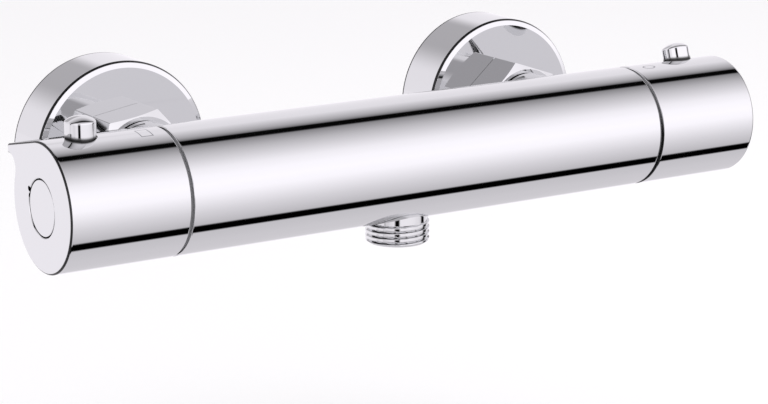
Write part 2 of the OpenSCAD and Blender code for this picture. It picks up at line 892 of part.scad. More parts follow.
// Flow cartridge, drawn for the right end and mirrored to the left

module flow_cartridge() {
    color(brass) on_left_end() difference() {
        union() {
            along_bar(flow_house_start, flow_thread_start + overrun) circle(r = flow_house_r);
            along_bar(flow_thread_start + face_gap, hex_start) circle(r = flow_thread_r);
            along_bar(hex_start, hex_end) hex_2d(flow_hex_af);
            neck_spline();
        }
        along_bar(flow_house_start - overrun, flow_room_end) circle(r = flow_house_in_r);
        along_bar(flow_room_end - overrun, neck_end + overrun) circle(r = shaft_bore_r);
        for (i = [1:flow_windows])
            along_bar(moving_disc_start, flow_room_end) rotate(i * 360 / flow_windows)
                translate([flow_house_in_r - overrun, -flow_window_w / 2])
                    square([flow_house_wall + 2 * overrun, flow_window_w]);
        ring_groove(flow_seal_x, flow_bore_r, flow_seal_r);
    }
}

module flow_cartridge_ring() {
    color(rubber) on_left_end() sealing_ring(flow_seal_x, flow_bore_r, flow_seal_r);
}

module flow_disc_seal() {
    color(rubber) on_left_end()
        along_bar(flow_house_start, fixed_disc_start) ring_2d(flow_house_in_r - slide_gap, seal_in_r);
}

// The two openings of a ceramic disc, across from each other
module disc_ports_2d(turn, outer) {
    for (across = [0, 180]) sector_2d(outer, disc_port_in, turn + across, disc_port_turn / 2);
}

module flow_fixed_disc() {
    color(ceramic) on_left_end() along_bar(fixed_disc_start, fixed_disc_start + disc_t) difference() {
        circle(r = flow_house_in_r - slide_gap);
        disc_ports_2d(90, disc_port_out);
    }
}

// The moving disc is open at its edge, so that water leaves through the housing's windows
module flow_moving_disc() {
    color(ceramic) on_left_end() difference() {
        along_bar(moving_disc_start, moving_disc_end) difference() {
            circle(r = flow_house_in_r - free_gap);
            disc_ports_2d(0, flow_house_r);
        }
        along_bar(moving_disc_end - key_deep, moving_disc_end + overrun)
            square([key_w, key_len], center = true);
    }
}

module flow_spindle() {
    color(brass) on_left_end() {
        spindle_shaft(driver_end - overrun, flow_rings_from);
        along_bar(moving_disc_end + fit_gap, driver_end) circle(r = driver_r);
        along_bar(moving_disc_end - key_deep + fit_gap, moving_disc_end + overrun)
            square([key_w - 2 * fit_gap, key_len - 2 * fit_gap], center = true);
    }
}

module flow_spindle_rings() on_left_end() spindle_rings(flow_rings_from);
module flow_spindle_clip() on_left_end() spindle_clip();

// Thermostat cartridge in the right end

module thermo_cartridge() {
    color(white_plastic) on_right_end() {
        difference() {
            union() {
                along_bar(warm_nose_floor + face_gap, house_inside) circle(r = house_nose_r);
                along_bar(house_floor, house_end) circle(r = house_waist_r);
                along_bar(hot_zone_end, cold_zone_start) circle(r = house_r);
                along_bar(cold_zone_end, house_end) circle(r = house_r);
            }
            along_bar(warm_nose_floor, house_floor + overrun) circle(r = nose_bore_r);
            along_bar(house_inside, hot_seat_x) circle(r = house_in_r);
            along_bar(hot_seat_x - overrun, house_end) circle(r = hot_seat_r);
            along_bar(hot_seat_face, house_end + overrun) circle(r = house_in_r);
            house_windows(hot_seat_face);
            house_windows(cold_seat_x - window_len);
            ring_groove(land_ring_x, warm_bore_r, warm_ring_r);
            ring_groove(end_ring_x, warm_bore_r, warm_ring_r);
            ring_groove(nose_ring_x, warm_nose_r, nose_ring_r);
            // Inner groove whose ring seals on the spool
            along_bar(land_ring_x - spool_ring_r - groove_slack, land_ring_x + spool_ring_r + groove_slack)
                circle(r = spool_r + fit_gap + 2 * spool_ring_r + groove_slack);
        }
        // Ribs that keep the pusher from turning
        for (turn = [90, 270])
            along_bar(cold_seat_end + face_gap, bonnet_start - face_gap) intersection() {
                ring_2d(house_in_r + fit_gap, house_in_r - guide_rib_t);
                rotate(turn) translate([house_in_r - guide_rib_t - overrun, -guide_rib_w / 2])
                    square([2 * guide_rib_t + overrun, guide_rib_w]);
            }
    }
}

// A ring of windows through the housing's wall, from a place along the bar
module house_windows(from) {
    for (i = [1:windows]) along_bar(from, from + window_len) rotate(i * 360 / windows)
        translate([house_in_r - overrun, -window_w / 2]) square([warm_bore_r - house_in_r, window_w]);
}

module thermo_rings() {
    color(rubber) on_right_end() {
        sealing_ring(land_ring_x, warm_bore_r, warm_ring_r);
        sealing_ring(end_ring_x, warm_bore_r, warm_ring_r);
        sealing_ring(nose_ring_x, warm_nose_r, nose_ring_r);
        about_bar() translate([spool_r + fit_gap + spool_ring_r, land_ring_x])
            circle(r = spool_ring_r, $fn = fine);
    }
}

// A slotted sleeve round one waist of the housing, on two feet
module strainer(from, to) {
    difference() {
        along_bar(from, to) ring_2d(strainer_r, strainer_r - strainer_t);
        along_bar(from + strainer_rim, to - strainer_rim) for (i = [1:strainer_slots])
            rotate(i * 360 / strainer_slots)
                translate([strainer_r - strainer_t - overrun, -strainer_slot_w / 2])
                    square([strainer_t + 2 * overrun, strainer_slot_w]);
    }
    for (x = [from, to - strainer_rim]) along_bar(x, x + strainer_rim)
        ring_2d(strainer_r - strainer_t / 2, house_waist_r + fit_gap);
}

module thermo_strainers() {
    color(steel) on_right_end() {
        strainer(house_floor + face_gap, hot_zone_end - face_gap);
        strainer(cold_zone_start + face_gap, cold_zone_end - face_gap);
    }
}

module thermo_cold_seat() {
    color(brass) on_right_end()
        along_bar(cold_seat_x, cold_seat_end) ring_2d(house_in_r - fit_gap, cold_seat_r);
}

module thermo_bonnet() {
    color(brass) on_right_end() difference() {
        union() {
            along_bar(bonnet_start, house_end) circle(r = bonnet_r);
            along_bar(house_end - overrun, hex_end) circle(r = throat_r);
            neck_spline();
        }
        along_bar(bonnet_start - overrun, neck_end + overrun) circle(r = shaft_bore_r);
    }
}

module thermo_gland_nut() {
    color(brass) on_right_end() difference() {
        union() {
            along_bar(house_end + face_gap, hex_start) circle(r = house_r);
            along_bar(hex_start, hex_end) hex_2d(gland_hex_af);
        }
        along_bar(house_end, hex_end + overrun) circle(r = throat_r + slide_gap);
    }
}

module thermo_spindle() {
    color(brass) on_right_end() {
        spindle_shaft(thrust_end - overrun, warm_rings_from);
        along_bar(thrust_start, thrust_end) circle(r = thrust_r);
        about_bar() thread_2d(adjust_r, adjust_r - adjust_deep, adjust_start, thrust_start + overrun, 0);
    }
}

module thermo_spindle_rings() on_right_end() spindle_rings(warm_rings_from);
module thermo_spindle_clip() on_right_end() spindle_clip();

module thermo_pusher() {
    slot_w = guide_rib_w + 2 * free_gap;
    color(white_plastic) on_right_end() difference() {
        union() {
            along_bar(pusher_start, pusher_end) circle(r = pusher_r);
            along_bar(pusher_flange_start, pusher_end) difference() {
                circle(r = pusher_flange_r);
                for (turn = [90, 270]) rotate(turn)
                    translate([house_in_r - guide_rib_t - free_gap, -slot_w / 2])
                        square([guide_rib_t + overrun, slot_w]);
            }
        }
        along_bar(pusher_start - overrun, pusher_end + overrun) circle(r = adjust_r + slide_gap);
        along_bar(pusher_start - overrun, cup_start) circle(r = cup_r - pusher_lip_w);
        along_bar(pusher_start + pusher_lip, pusher_floor) circle(r = pusher_in_r);
    }
}

module overload_spring() {
    color(steel) on_right_end() translate([cup_end + fit_gap, 0, 0]) rotate([0, 90, 0])
        coil_spring(overload_r, overload_wire_d, overload_len - 2 * fit_gap, overload_curls);
}

module piston_cup() {
    color(brass) on_right_end() difference() {
        along_bar(cup_start, cup_end) circle(r = cup_r);
        along_bar(cup_start - overrun, cup_start + cup_dimple) circle(r = piston_r + fit_gap);
    }
}

module wax_element() {
    color(copper) on_right_end() {
        along_bar(house_inside, element_end) circle(r = element_bulb_r);
        along_bar(spool_web_start, element_end) circle(r = element_collar_r);
        along_bar(spool_web_end, element_end) circle(r = element_flange_r);
        along_bar(element_end - overrun, cup_start + cup_dimple) circle(r = piston_r);
    }
}

module thermo_spool() {
    color(white_plastic) on_right_end() {
        along_bar(spool_start, spool_end) ring_2d(spool_r, spool_r - spool_wall);
        along_bar(spool_web_start, spool_web_end) difference() {
            union() {
                circle(r = element_collar_r + spool_wall);
                for (i = [1:spool_arms]) rotate(i * 360 / spool_arms)
                    translate([0, -spool_arm_w / 2]) square([spool_r - spool_wall / 2, spool_arm_w]);
            }
            circle(r = element_collar_r + fit_gap);
        }
    }
}

module return_spring() {
    color(steel) on_right_end() translate([house_inside + fit_gap, 0, 0]) rotate([0, 90, 0])
        coil_spring(return_r, return_wire_d, spool_web_start - house_inside - 2 * fit_gap, return_curls);
}

// Handles and what they hold, drawn for the right end

module glide_ring() {
    color(rubber) {
        along_bar(body_end, handle_start - face_gap) ring_2d(glide_rim_r, spigot_r + fit_gap);
        along_bar(body_end, handle_start + glide_lip) ring_2d(glide_r, spigot_r + fit_gap);
    }
}

// Stop ring on the neck. Its lug fills the angle that the insert's rib never enters
module stop_ring(low_turn, high_turn, rest_turn = 0) {
    free_half = (high_turn - low_turn) / 2 + rib_half + stop_spare_turn;
    lug_place = rib_place + rest_turn + (high_turn + low_turn) / 2 + 180;
    color(white_plastic) along_bar(stop_start, stop_end) difference() {
        union() {
            circle(r = stop_hub_r);
            sector_2d(stop_lug_r, neck_r, lug_place, 180 - free_half);
        }
        spline_2d(neck_r + slide_gap, neck_r - neck_tooth_deep + slide_gap, neck_teeth);
    }
}

module handle_shell() {
    color(chrome) difference() {
        union() {
            along_bar(handle_start, half_len - rim_round) handle_2d(0);
            for (i = [1:rim_steps]) {
                inset = rim_round * (1 - cos(90 * (i - 1) / rim_steps));
                along_bar(half_len - rim_round - overrun,
                          half_len - rim_round * (1 - sin(90 * i / rim_steps))) handle_2d(inset);
            }
        }
        difference() {
            along_bar(handle_start - overrun, handle_floor) circle(r = handle_in_r);
            along_bar(collar_start, handle_floor + overrun) circle(r = cap_hole_r + collar_wall);
        }
        along_bar(collar_start - overrun, half_len + overrun) circle(r = cap_hole_r);
        at_button() translate([0, 0, button_floor])
            cylinder(r = button_hole_r, h = bar_r);
        // Notch for a blade that lifts the end cap
        along_bar(cap_face - cap_t / 2, half_len + overrun) rotate(notch_turn)
            translate([0, -notch_w / 2]) square([cap_hole_r + notch_w, notch_w]);
    }
}

module handle_insert() {
    color(white_plastic) difference() {
        union() {
            along_bar(web_start, web_end) circle(r = insert_r);
            along_bar(insert_start, insert_end) ring_2d(insert_r, insert_in_r);
            along_bar(hub_start, web_end) circle(r = hub_r);
            along_bar(stop_start, stop_end)
                sector_2d(insert_in_r + insert_wall / 2, rib_in_r, rib_place, rib_half);
            // Seat and guide of the stop button
            intersection() {
                along_bar(hub_start, insert_end) circle(r = insert_r);
                at_button() translate([0, 0, pedestal_low])
                    cylinder(r = guide_r + guide_wall, h = bar_r);
            }
        }
        at_button() translate([0, 0, button_floor]) cylinder(r = guide_r, h = bar_r);
        along_bar(hub_start - overrun, web_start)
            spline_2d(spline_tip_r + slide_gap, spline_root_r + slide_gap, spline_teeth);
        along_bar(web_start - overrun, web_end + overrun) circle(r = screw_hole_r);
        along_bar(web_end, screw_head_start + screw_head_len) circle(r = screw_head_r + free_gap);
    }
}

module handle_screw() {
    head_end = screw_head_start + screw_head_len;
    color(steel) difference() {
        union() {
            along_bar(screw_head_start, head_end) circle(r = screw_head_r);
            along_bar(screw_end, screw_head_start + overrun) circle(r = screw_r);
        }
        for (turn = [0, 90]) along_bar(head_end - screw_slot_deep, head_end + overrun)
            rotate(turn) square([screw_slot_w, screw_slot_len], center = true);
    }
}

module end_cap() {
    color(chrome) {
        along_bar(cap_face - cap_t, cap_face) circle(r = cap_r);
        along_bar(collar_start, cap_face - cap_t / 2) ring_2d(cap_r, cap_r - cap_skirt);
    }
}

module stop_button(rise) {
    side_top = bar_r + rise;
    top = side_top + button_dome;
    edge_r = button_r - button_bevel;
    dome_r = (edge_r * edge_r + button_dome * button_dome) / (2 * button_dome);
    color(chrome) at_button() rotate_extrude() intersection() {
        polygon([
            [0, flange_low - stem_len], [stem_r, flange_low - stem_len], [stem_r, flange_low],
            [button_flange_r, flange_low], [button_flange_r, flange_top], [button_r, flange_top],
            [button_r, side_top - button_bevel], [edge_r, side_top],
            [edge_r, top + overrun], [0, top + overrun]
        ]);
        union() {
            square([2 * button_r, side_top]);
            translate([0, top - dome_r]) circle(r = dome_r);
        }
    }
}

module button_spring() {
    color(steel) at_button() translate([0, 0, button_floor + fit_gap])
        coil_spring(button_spring_r, button_wire_d, flange_low - button_floor - 2 * fit_gap, button_curls);
}

// Named pieces of each side

module hot_inlet_tail() inlet_tail(-1);
module cold_inlet_tail() inlet_tail(1);
module hot_union_nut() union_nut(-1, hot_nut_turn);
module cold_union_nut() union_nut(1, cold_nut_turn);
module hot_filter_washer() filter_washer(-1);
module cold_filter_washer() filter_washer(1);
module hot_s_union() s_union(-1);
module cold_s_union() s_union(1);
module hot_wall_flange() wall_flange(-1);
module cold_wall_flange() wall_flange(1);
module hot_check_housing() check_housing(-1);
module cold_check_housing() check_housing(1);
module hot_check_poppet() check_poppet(-1);
module cold_check_poppet() check_poppet(1);
module hot_check_spring() check_spring(-1);
module cold_check_spring() check_spring(1);

module flow_glide_ring() on_left_end() glide_ring();
module flow_stop_ring() on_left_end() stop_ring(0, flow_turn);
module flow_handle() on_left_end() handle_shell();
module flow_handle_insert() on_left_end() handle_insert();
module flow_handle_screw() on_left_end() handle_screw();
module flow_end_cap() on_left_end() end_cap();
module flow_stop_button() on_left_end() stop_button(flow_button_rise);
module flow_button_spring() on_left_end() button_spring();

module warm_glide_ring() on_right_end() glide_ring();
module warm_stop_ring() on_right_end() stop_ring(-cold_turn, hot_turn, warm_rest_turn);
module warm_handle() on_warm_handle() handle_shell();
module warm_handle_insert() on_warm_handle() handle_insert();
module warm_handle_screw() on_warm_handle() handle_screw();
module warm_end_cap() on_warm_handle() end_cap();
module warm_stop_button() on_warm_handle() stop_button(warm_button_rise);
module warm_button_spring() on_warm_handle() button_spring();

// Least gap between the turns of each spring
echo(check_spring_gap = coil_gap(
    coil_line(check_spring_r, check_wire_d, spider_start - poppet_end, check_curls), check_wire_d));
echo(button_spring_gap = coil_gap(
    coil_line(button_spring_r, button_wire_d, flange_low - button_floor, button_curls), button_wire_d));
echo(overload_spring_gap = coil_gap(
    coil_line(overload_r, overload_wire_d, overload_len, overload_curls), overload_wire_d));
echo(return_spring_gap = coil_gap(
    coil_line(return_r, return_wire_d, spool_web_start - house_inside, return_curls), return_wire_d));

valve_body();
outlet_nipple();
outlet_washer();
hot_inlet_tail();
cold_inlet_tail();
hot_union_nut();
cold_union_nut();
hot_filter_washer();
cold_filter_washer();
hot_s_union();
cold_s_union();
hot_wall_flange();
cold_wall_flange();
hot_check_housing();
cold_check_housing();
hot_check_poppet();
cold_check_poppet();
hot_check_spring();
cold_check_spring();
flow_cartridge();
flow_disc_seal();
flow_fixed_disc();
flow_moving_disc();
flow_spindle();
flow_spindle_rings();
flow_spindle_clip();
flow_cartridge_ring();
flow_glide_ring();
flow_stop_ring();
flow_handle();
flow_handle_insert();
flow_handle_screw();
flow_end_cap();
flow_stop_button();
flow_button_spring();
thermo_cartridge();
thermo_cold_seat();
thermo_bonnet();
thermo_gland_nut();
thermo_rings();
thermo_strainers();
thermo_spindle();
thermo_spindle_rings();
thermo_spindle_clip();
thermo_pusher();
overload_spring();
piston_cup();
wax_element();
thermo_spool();
return_spring();
warm_glide_ring();
warm_stop_ring();
warm_handle();
warm_handle_insert();
warm_handle_screw();
warm_end_cap();
warm_stop_button();
warm_button_spring();
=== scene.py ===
# %% [markdown]
# # A chrome thermostatic shower valve
# The valve is a round bar with a handle on each end. Its CAD model is already right in size and
# in how it moves, so this lesson only dresses it: finer chrome pieces go over the CAD nodes that
# show, every other node gets a finish of its own, and a small photo studio stands round it.

import json
import math

import bpy
from mathutils import Matrix, Vector


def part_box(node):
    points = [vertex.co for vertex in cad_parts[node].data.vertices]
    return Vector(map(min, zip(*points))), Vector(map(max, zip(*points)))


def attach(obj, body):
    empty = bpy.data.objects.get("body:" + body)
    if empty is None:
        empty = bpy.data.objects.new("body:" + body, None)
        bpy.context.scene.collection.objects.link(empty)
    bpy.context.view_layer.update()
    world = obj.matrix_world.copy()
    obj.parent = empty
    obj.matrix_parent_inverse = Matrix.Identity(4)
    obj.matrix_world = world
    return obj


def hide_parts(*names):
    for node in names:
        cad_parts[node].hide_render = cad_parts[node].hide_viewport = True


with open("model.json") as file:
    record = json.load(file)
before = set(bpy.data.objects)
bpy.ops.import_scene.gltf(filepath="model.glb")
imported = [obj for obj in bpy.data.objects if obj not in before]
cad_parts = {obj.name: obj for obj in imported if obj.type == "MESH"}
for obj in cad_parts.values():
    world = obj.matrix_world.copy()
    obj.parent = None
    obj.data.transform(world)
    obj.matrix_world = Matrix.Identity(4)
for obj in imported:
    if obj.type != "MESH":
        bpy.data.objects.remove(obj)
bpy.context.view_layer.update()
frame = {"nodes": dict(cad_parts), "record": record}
nodes = frame["nodes"]
print("CAD nodes:", len(nodes))

# %% [markdown]
# ## Sizes
# Blender works in metres. The bar's axis lies in front of the wall, and the two supplies come out
# of the wall just below it. The sizes that several pieces share are named here once. A profile
# further down holds its corners in mm, as they would stand on a drawing.

# %% Sizes that several pieces share
MM = 0.001
AXIS = Vector((0, -72.5, 7.5)) * MM
BAR_R = 20.1 * MM
HANDLE_START, HANDLE_END = 89.5 * MM, 129 * MM
THREAD_R, THREAD_DEEP, THREAD_PITCH = 10.4 * MM, 1.16 * MM, 1.814 * MM
THREAD_SHARE = 0.27  # half of the groove as a share of the pitch
SIDES = {"flow": -1, "warm": 1}
REST_TURN = {"flow": 0.0, "warm": math.radians(-18)}  # the right handle stands one tooth back
INLETS = {"hot": -75 * MM, "cold": 75 * MM}
print("bar:", BAR_R * 2 / MM, "mm across,", HANDLE_END * 2 / MM, "mm long")

# %% [markdown]
# ## Camera
# The photo was taken from the left, in front and a little above, with a long lens. The camera
# stands where the two inlets, 150 mm apart on the real valve, fall on the photo's flanges.

# %% Camera
scene = bpy.context.scene
bpy.ops.object.camera_add(
    location=(-0.42196, -0.71905, 0.18293),
    rotation=(math.pi / 2 - 0.24199, 0, -0.56834),
)
camera = bpy.context.object
camera.name = "camera"
camera.data.sensor_width = 36
camera.data.lens = 114.97
camera.data.clip_start, camera.data.clip_end = 0.05, 20
scene.camera = camera
scene.view_settings.view_transform = "Standard"
print("camera at", tuple(round(c, 3) for c in camera.location))

# %% [markdown]
# ## Tools for modelling
# Operators act on whatever is selected, so each tool first selects just its own piece. A piece is
# closed, its doubles are merged and its faces turned outward. At the end it is smoothed, and
# Weighted Normal keeps large flat or round faces true, because chrome shows every dent.

# %% Selecting, merging, cutting
MERGE_GAP = 0.002 * MM


def pick(piece):
    """Selects one piece and nothing else."""
    bpy.ops.object.select_all(action="DESELECT")
    bpy.context.view_layer.objects.active = piece
    piece.select_set(True)


def apply_modifier(piece, kind, **settings):
    """Adds a modifier with these settings and makes its result the piece's own mesh."""
    pick(piece)
    bpy.ops.object.modifier_add(type=kind)
    modifier = piece.modifiers[-1]
    for name, value in settings.items():
        setattr(modifier, name, value)
    bpy.ops.object.modifier_apply(modifier=modifier.name)


def tidy(piece):
    """Closes seams, poles and ends, and turns every face outward."""
    pick(piece)
    bpy.ops.object.mode_set(mode="EDIT")
    bpy.ops.mesh.select_all(action="SELECT")
    bpy.ops.mesh.remove_doubles(threshold=MERGE_GAP)
    bpy.ops.mesh.select_all(action="DESELECT")
    bpy.ops.mesh.select_non_manifold(extend=False)
    bpy.ops.mesh.fill_holes(sides=0)
    bpy.ops.mesh.select_all(action="SELECT")
    bpy.ops.mesh.normals_make_consistent(inside=False)
    bpy.ops.object.mode_set(mode="OBJECT")


def cut(piece, tool, operation="DIFFERENCE"):
    """Cuts a piece with a tool, or joins or crosses them, and throws the tool away."""
    apply_modifier(piece, "BOOLEAN", operation=operation, solver="EXACT", object=tool)
    bpy.data.objects.remove(tool)


def smooth(piece, angle=35):
    """Shades a piece smooth, but for edges sharper than the angle in degrees."""
    pick(piece)
    bpy.ops.object.shade_smooth_by_angle(angle=math.radians(angle))
    apply_modifier(piece, "WEIGHTED_NORMAL", keep_sharp=True, weight=80)


print(f"corners nearer than {MERGE_GAP / MM:.3f} mm are merged")

# %% [markdown]
# ## Turned pieces
# Most of this valve comes off a lathe, so most pieces start as half a profile: a plane is merged
# to one point, the point is extruded from corner to corner, and Spin turns the line into a solid.
# A turned edge is never quite sharp. Rounding each corner of the profile gives it the thin bright
# line that real edges have.

# %% Profiles and the lathe
def soft(corners, steps=4):
    """Points of a profile in mm. A corner is (radius, place) or (radius, place, rounding)."""
    points = []
    for i, corner in enumerate(corners):
        here = Vector(corner[:2])
        if len(corner) == 2:
            points.append(here)
            continue
        back = (Vector(corners[i - 1][:2]) - here).normalized()
        ahead = (Vector(corners[i + 1][:2]) - here).normalized()
        half = back.angle(ahead) / 2
        middle = here + (back + ahead).normalized() * corner[2] / math.sin(half)
        start = here + back * corner[2] / math.tan(half) - middle
        sweep = math.copysign(math.pi - 2 * half, back.cross(ahead))
        points += [middle + Matrix.Rotation(-sweep * k / steps, 2) @ start
                   for k in range(steps + 1)]
    return [p * MM for p in points]


def stand(piece, centre, axis):
    """Stands a piece made about Z on another axis. The mesh moves, the object stays."""
    turn = Vector((0, 0, 1)).rotation_difference(Vector(axis)).to_matrix().to_4x4()
    piece.data.transform(Matrix.Translation(centre) @ turn)


def turned(name, corners, centre=(0, 0, 0), axis=(0, 0, 1), steps=128):
    """Spins a profile of (radius, place) in mm into a closed solid."""
    bpy.ops.object.select_all(action="DESELECT")
    bpy.ops.mesh.primitive_plane_add(size=MM)
    piece = bpy.context.object
    piece.name = piece.data.name = name
    points = [Vector((p.x, 0, p.y)) for p in soft(corners)]
    bpy.ops.object.mode_set(mode="EDIT")
    bpy.ops.mesh.merge(type="CENTER")
    bpy.ops.transform.translate(value=points[0])
    for a, b in zip(points, points[1:]):
        bpy.ops.mesh.extrude_region_move(TRANSFORM_OT_translate={"value": b - a})
    bpy.ops.mesh.select_all(action="SELECT")
    bpy.ops.mesh.spin(steps=steps, angle=2 * math.pi, center=(0, 0, 0), axis=(0, 0, 1))
    bpy.ops.object.mode_set(mode="OBJECT")
    tidy(piece)
    stand(piece, centre, axis)
    return piece


def wrapped(name, rings):
    """Wraps a grid over rings of points, one row of it round each ring, and closes the ends."""
    bpy.ops.object.select_all(action="DESELECT")
    bpy.ops.mesh.primitive_grid_add(
        x_subdivisions=len(rings[0]), y_subdivisions=len(rings) - 1, size=MM)
    piece = bpy.context.object
    piece.name = piece.data.name = name
    points = [p for ring in rings for p in (*ring, ring[0])]
    for vertex, point in zip(piece.data.vertices, points, strict=True):
        vertex.co = point
    tidy(piece)
    return piece


print("points on a rounded corner:", len(soft([(0, 0), (1, 0, 0.2), (1, 1)])) - 2)

# %% [markdown]
# ## Putting a piece in its place
# A finished piece rides on the CAD body that it belongs to and stands for one CAD node, which is
# then hidden. The printed gap shows how far the piece's corners are from the node's.

# %% Dressing a node
def box_of(piece):
    """Lowest and highest corner of a piece's mesh."""
    places = list(zip(*(v.co for v in piece.data.vertices)))
    return Vector(map(min, places)), Vector(map(max, places))


pieces = []


def dress(piece, body, node):
    """Hands a piece to a body, in the place of a CAD node."""
    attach(piece, body)
    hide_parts(node)
    gap = max((a - b).length for a, b in zip(box_of(piece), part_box(node)))
    pieces.append(piece)
    print(f"{piece.name}: {len(piece.data.polygons)} faces, {gap / MM:.2f} mm off {node}'s box")


ON_ROUND, ALONG_ROUND = 0.02 * MM, 0.9995  # how near a face must be, and how well it must point


def true_round(piece):
    """Gives the faces on the bar's round surface the exact normals of a ground cylinder."""
    mesh = piece.data
    normals = [Vector(n.vector) for n in mesh.corner_normals]
    for face in mesh.polygons:
        out = Vector((0, *(face.center - AXIS).yz))
        near = abs(out.length - BAR_R) < ON_ROUND
        if near and face.normal.dot(out.normalized()) > ALONG_ROUND:
            for corner in face.loop_indices:
                point = mesh.vertices[mesh.loops[corner].vertex_index].co - AXIS
                normals[corner] = Vector((0, *point.yz)).normalized()
    mesh.normals_split_custom_set(normals)


print(f"a face is round up to {ON_ROUND / MM:.2f} mm off the bar's cylinder")

# %% [markdown]
# ## The body of the bar
# The body is one brass casting that is turned, polished and plated. One closed profile holds its
# outside and all its chambers, and is spun about the bar's axis. The two bosses behind it and the
# outlet hole below are round as well: Boolean joins and cuts them.

# %% Body of the bar
OUTLET_AT = AXIS + Vector((-4 * MM, 0, 0))
bar = turned("bar_body", [
    # from the waterway out through the flow cartridge's chamber, and round the left neck
    (5.2, -53.5), (9.3, -53.5), (9.3, -79.8), (10.43, -79.8),
    (10.43, -91.5), (16.2, -91.5, 0.2), (16.2, -88.5),
    # the polished outside
    (20.1, -88.5, 0.3), (20.1, -60), (20.1, -30), (20.1, 0), (20.1, 30), (20.1, 60),
    (20.1, 88.5, 0.7),
    # round the right neck, and back in through the thermostat's chamber
    (16.2, 88.5), (16.2, 91.5, 0.2), (14.5, 91.5),
    (14.5, 30), (9, 30), (9, 20.5), (5.2, 20.5), (5.2, -53.5),
], AXIS, (1, 0, 0), steps=192)
for x in INLETS.values():
    toward_wall = AXIS + Vector((x, 0, 0)), (0, 1, 0)
    cut(bar, turned("boss", [(0, 14.6), (13.4, 14.6), (13.4, 38.6, 0.3), (0, 38.6)],
                    *toward_wall, steps=96), "UNION")
    cut(bar, turned("bore", [(0, 18), (10.4, 18), (10.4, 40), (0, 40)], *toward_wall, steps=96))
cut(bar, turned("outlet_hole", [
    (0, 4), (7.48, 4), (7.48, 16), (9.65, 16), (9.65, 22), (0, 22)],
    OUTLET_AT, (0, 0, -1), steps=96))
tidy(bar)
smooth(bar)
true_round(bar)
dress(bar, "valve", "valve_body")

# %% [markdown]
# ## The handles
# A handle is a shell with the bar's own outline, pulled out at the back into a small fin for the
# fingers. The fin's upper side leaves the circle smoothly and its underside is hollowed. The
# outline is worked out point by point, and a grid is wrapped over copies of it that shrink
# towards the end face, which rounds the rim all the way round, fin and hollow too.

# %% Outline of a handle
FIN_FALL = math.radians(12.6)
FIN_REACH, FIN_UNDER, FIN_HOLLOW = 23.6 * MM, 12.4 * MM, 4 * MM
FIN_STEPS = 6
TIP = 0.35 * MM  # rounding of the fin's tip


def handle_outline(inset, turn_by, round_steps=168, hollow_steps=14):
    """Points (y, z) of the outline drawn in by inset, turned about the bar's axis."""
    r, hollow = BAR_R - inset, FIN_HOLLOW + inset
    touch = r * Vector((math.sin(FIN_FALL), math.cos(FIN_FALL)))
    low = Vector((FIN_REACH - inset, FIN_UNDER + inset))
    high = Vector((low.x, touch.y - (low.x - touch.x) * math.tan(FIN_FALL)))
    away, reach = r + hollow, low.length
    spread = math.acos((reach**2 + away**2 - hollow**2) / (2 * away * reach))
    turn = math.atan2(low.y, low.x) - spread
    centre = away * Vector((math.cos(turn), math.sin(turn)))
    first, last = turn, math.pi / 2 - FIN_FALL - 2 * math.pi
    round_turns = (first + (last - first) * i / round_steps for i in range(round_steps + 1))
    points = [r * Vector((math.cos(a), math.sin(a))) for a in round_turns]
    points += [touch.lerp(high, k / FIN_STEPS) for k in range(1, FIN_STEPS)]
    points += [high + (touch - high).normalized() * TIP, high + Vector((-0.3, -0.3)) * TIP,
               high + Vector((0, -TIP)), low.lerp(high, 0.5), low + Vector((0, TIP * 0.5))]
    spin_from = math.atan2(*(low - centre).yx)
    spin_to = turn + math.pi
    sweep = (spin_to - spin_from) % (2 * math.pi)
    hollow_turns = (spin_from + sweep * (k + 0.25) / hollow_steps for k in range(hollow_steps))
    points += [centre + hollow * Vector((math.cos(a), math.sin(a))) for a in hollow_turns]
    return [Matrix.Rotation(turn_by, 2) @ p for p in points]


print("outline of a handle:", len(handle_outline(0, 0)), "points")

# %% [markdown]
# ## Handle shells
# The real handle is die-cast: a cup for the cartridge neck, a collar for the cap, a hole for the
# button. Turned cutters take these out of the solid shell. Both handles have one form, and the
# right one is set one tooth of its spline back from the top, as in the photo.

# %% Handle shells, hollow, with their holes
BUTTON_AT = 115.7 * MM  # from the middle of the bar
TURNS_ON = {"flow": "flow_control", "warm": "temperature_control"}
RIM, SEAM = 0.9 * MM, 0.4 * MM  # rounding at the end face and at the body
NOTCH_TURN = math.radians(28)
NOTCH_END, NOTCH_HALF, NOTCH_FLOOR = 9.53, 0.8, 127.1


def quarter(steps):
    """Sine and cosine along a quarter turn."""
    return [(math.sin(math.pi / 2 * i / steps), math.cos(math.pi / 2 * i / steps))
            for i in range(steps + 1)]


def button_axis(name):
    """Foot on the bar's axis and direction of a stop button."""
    turn = REST_TURN[name]
    foot = AXIS + Vector((SIDES[name] * BUTTON_AT, 0, 0))
    return foot, Vector((0, -math.sin(turn), math.cos(turn)))


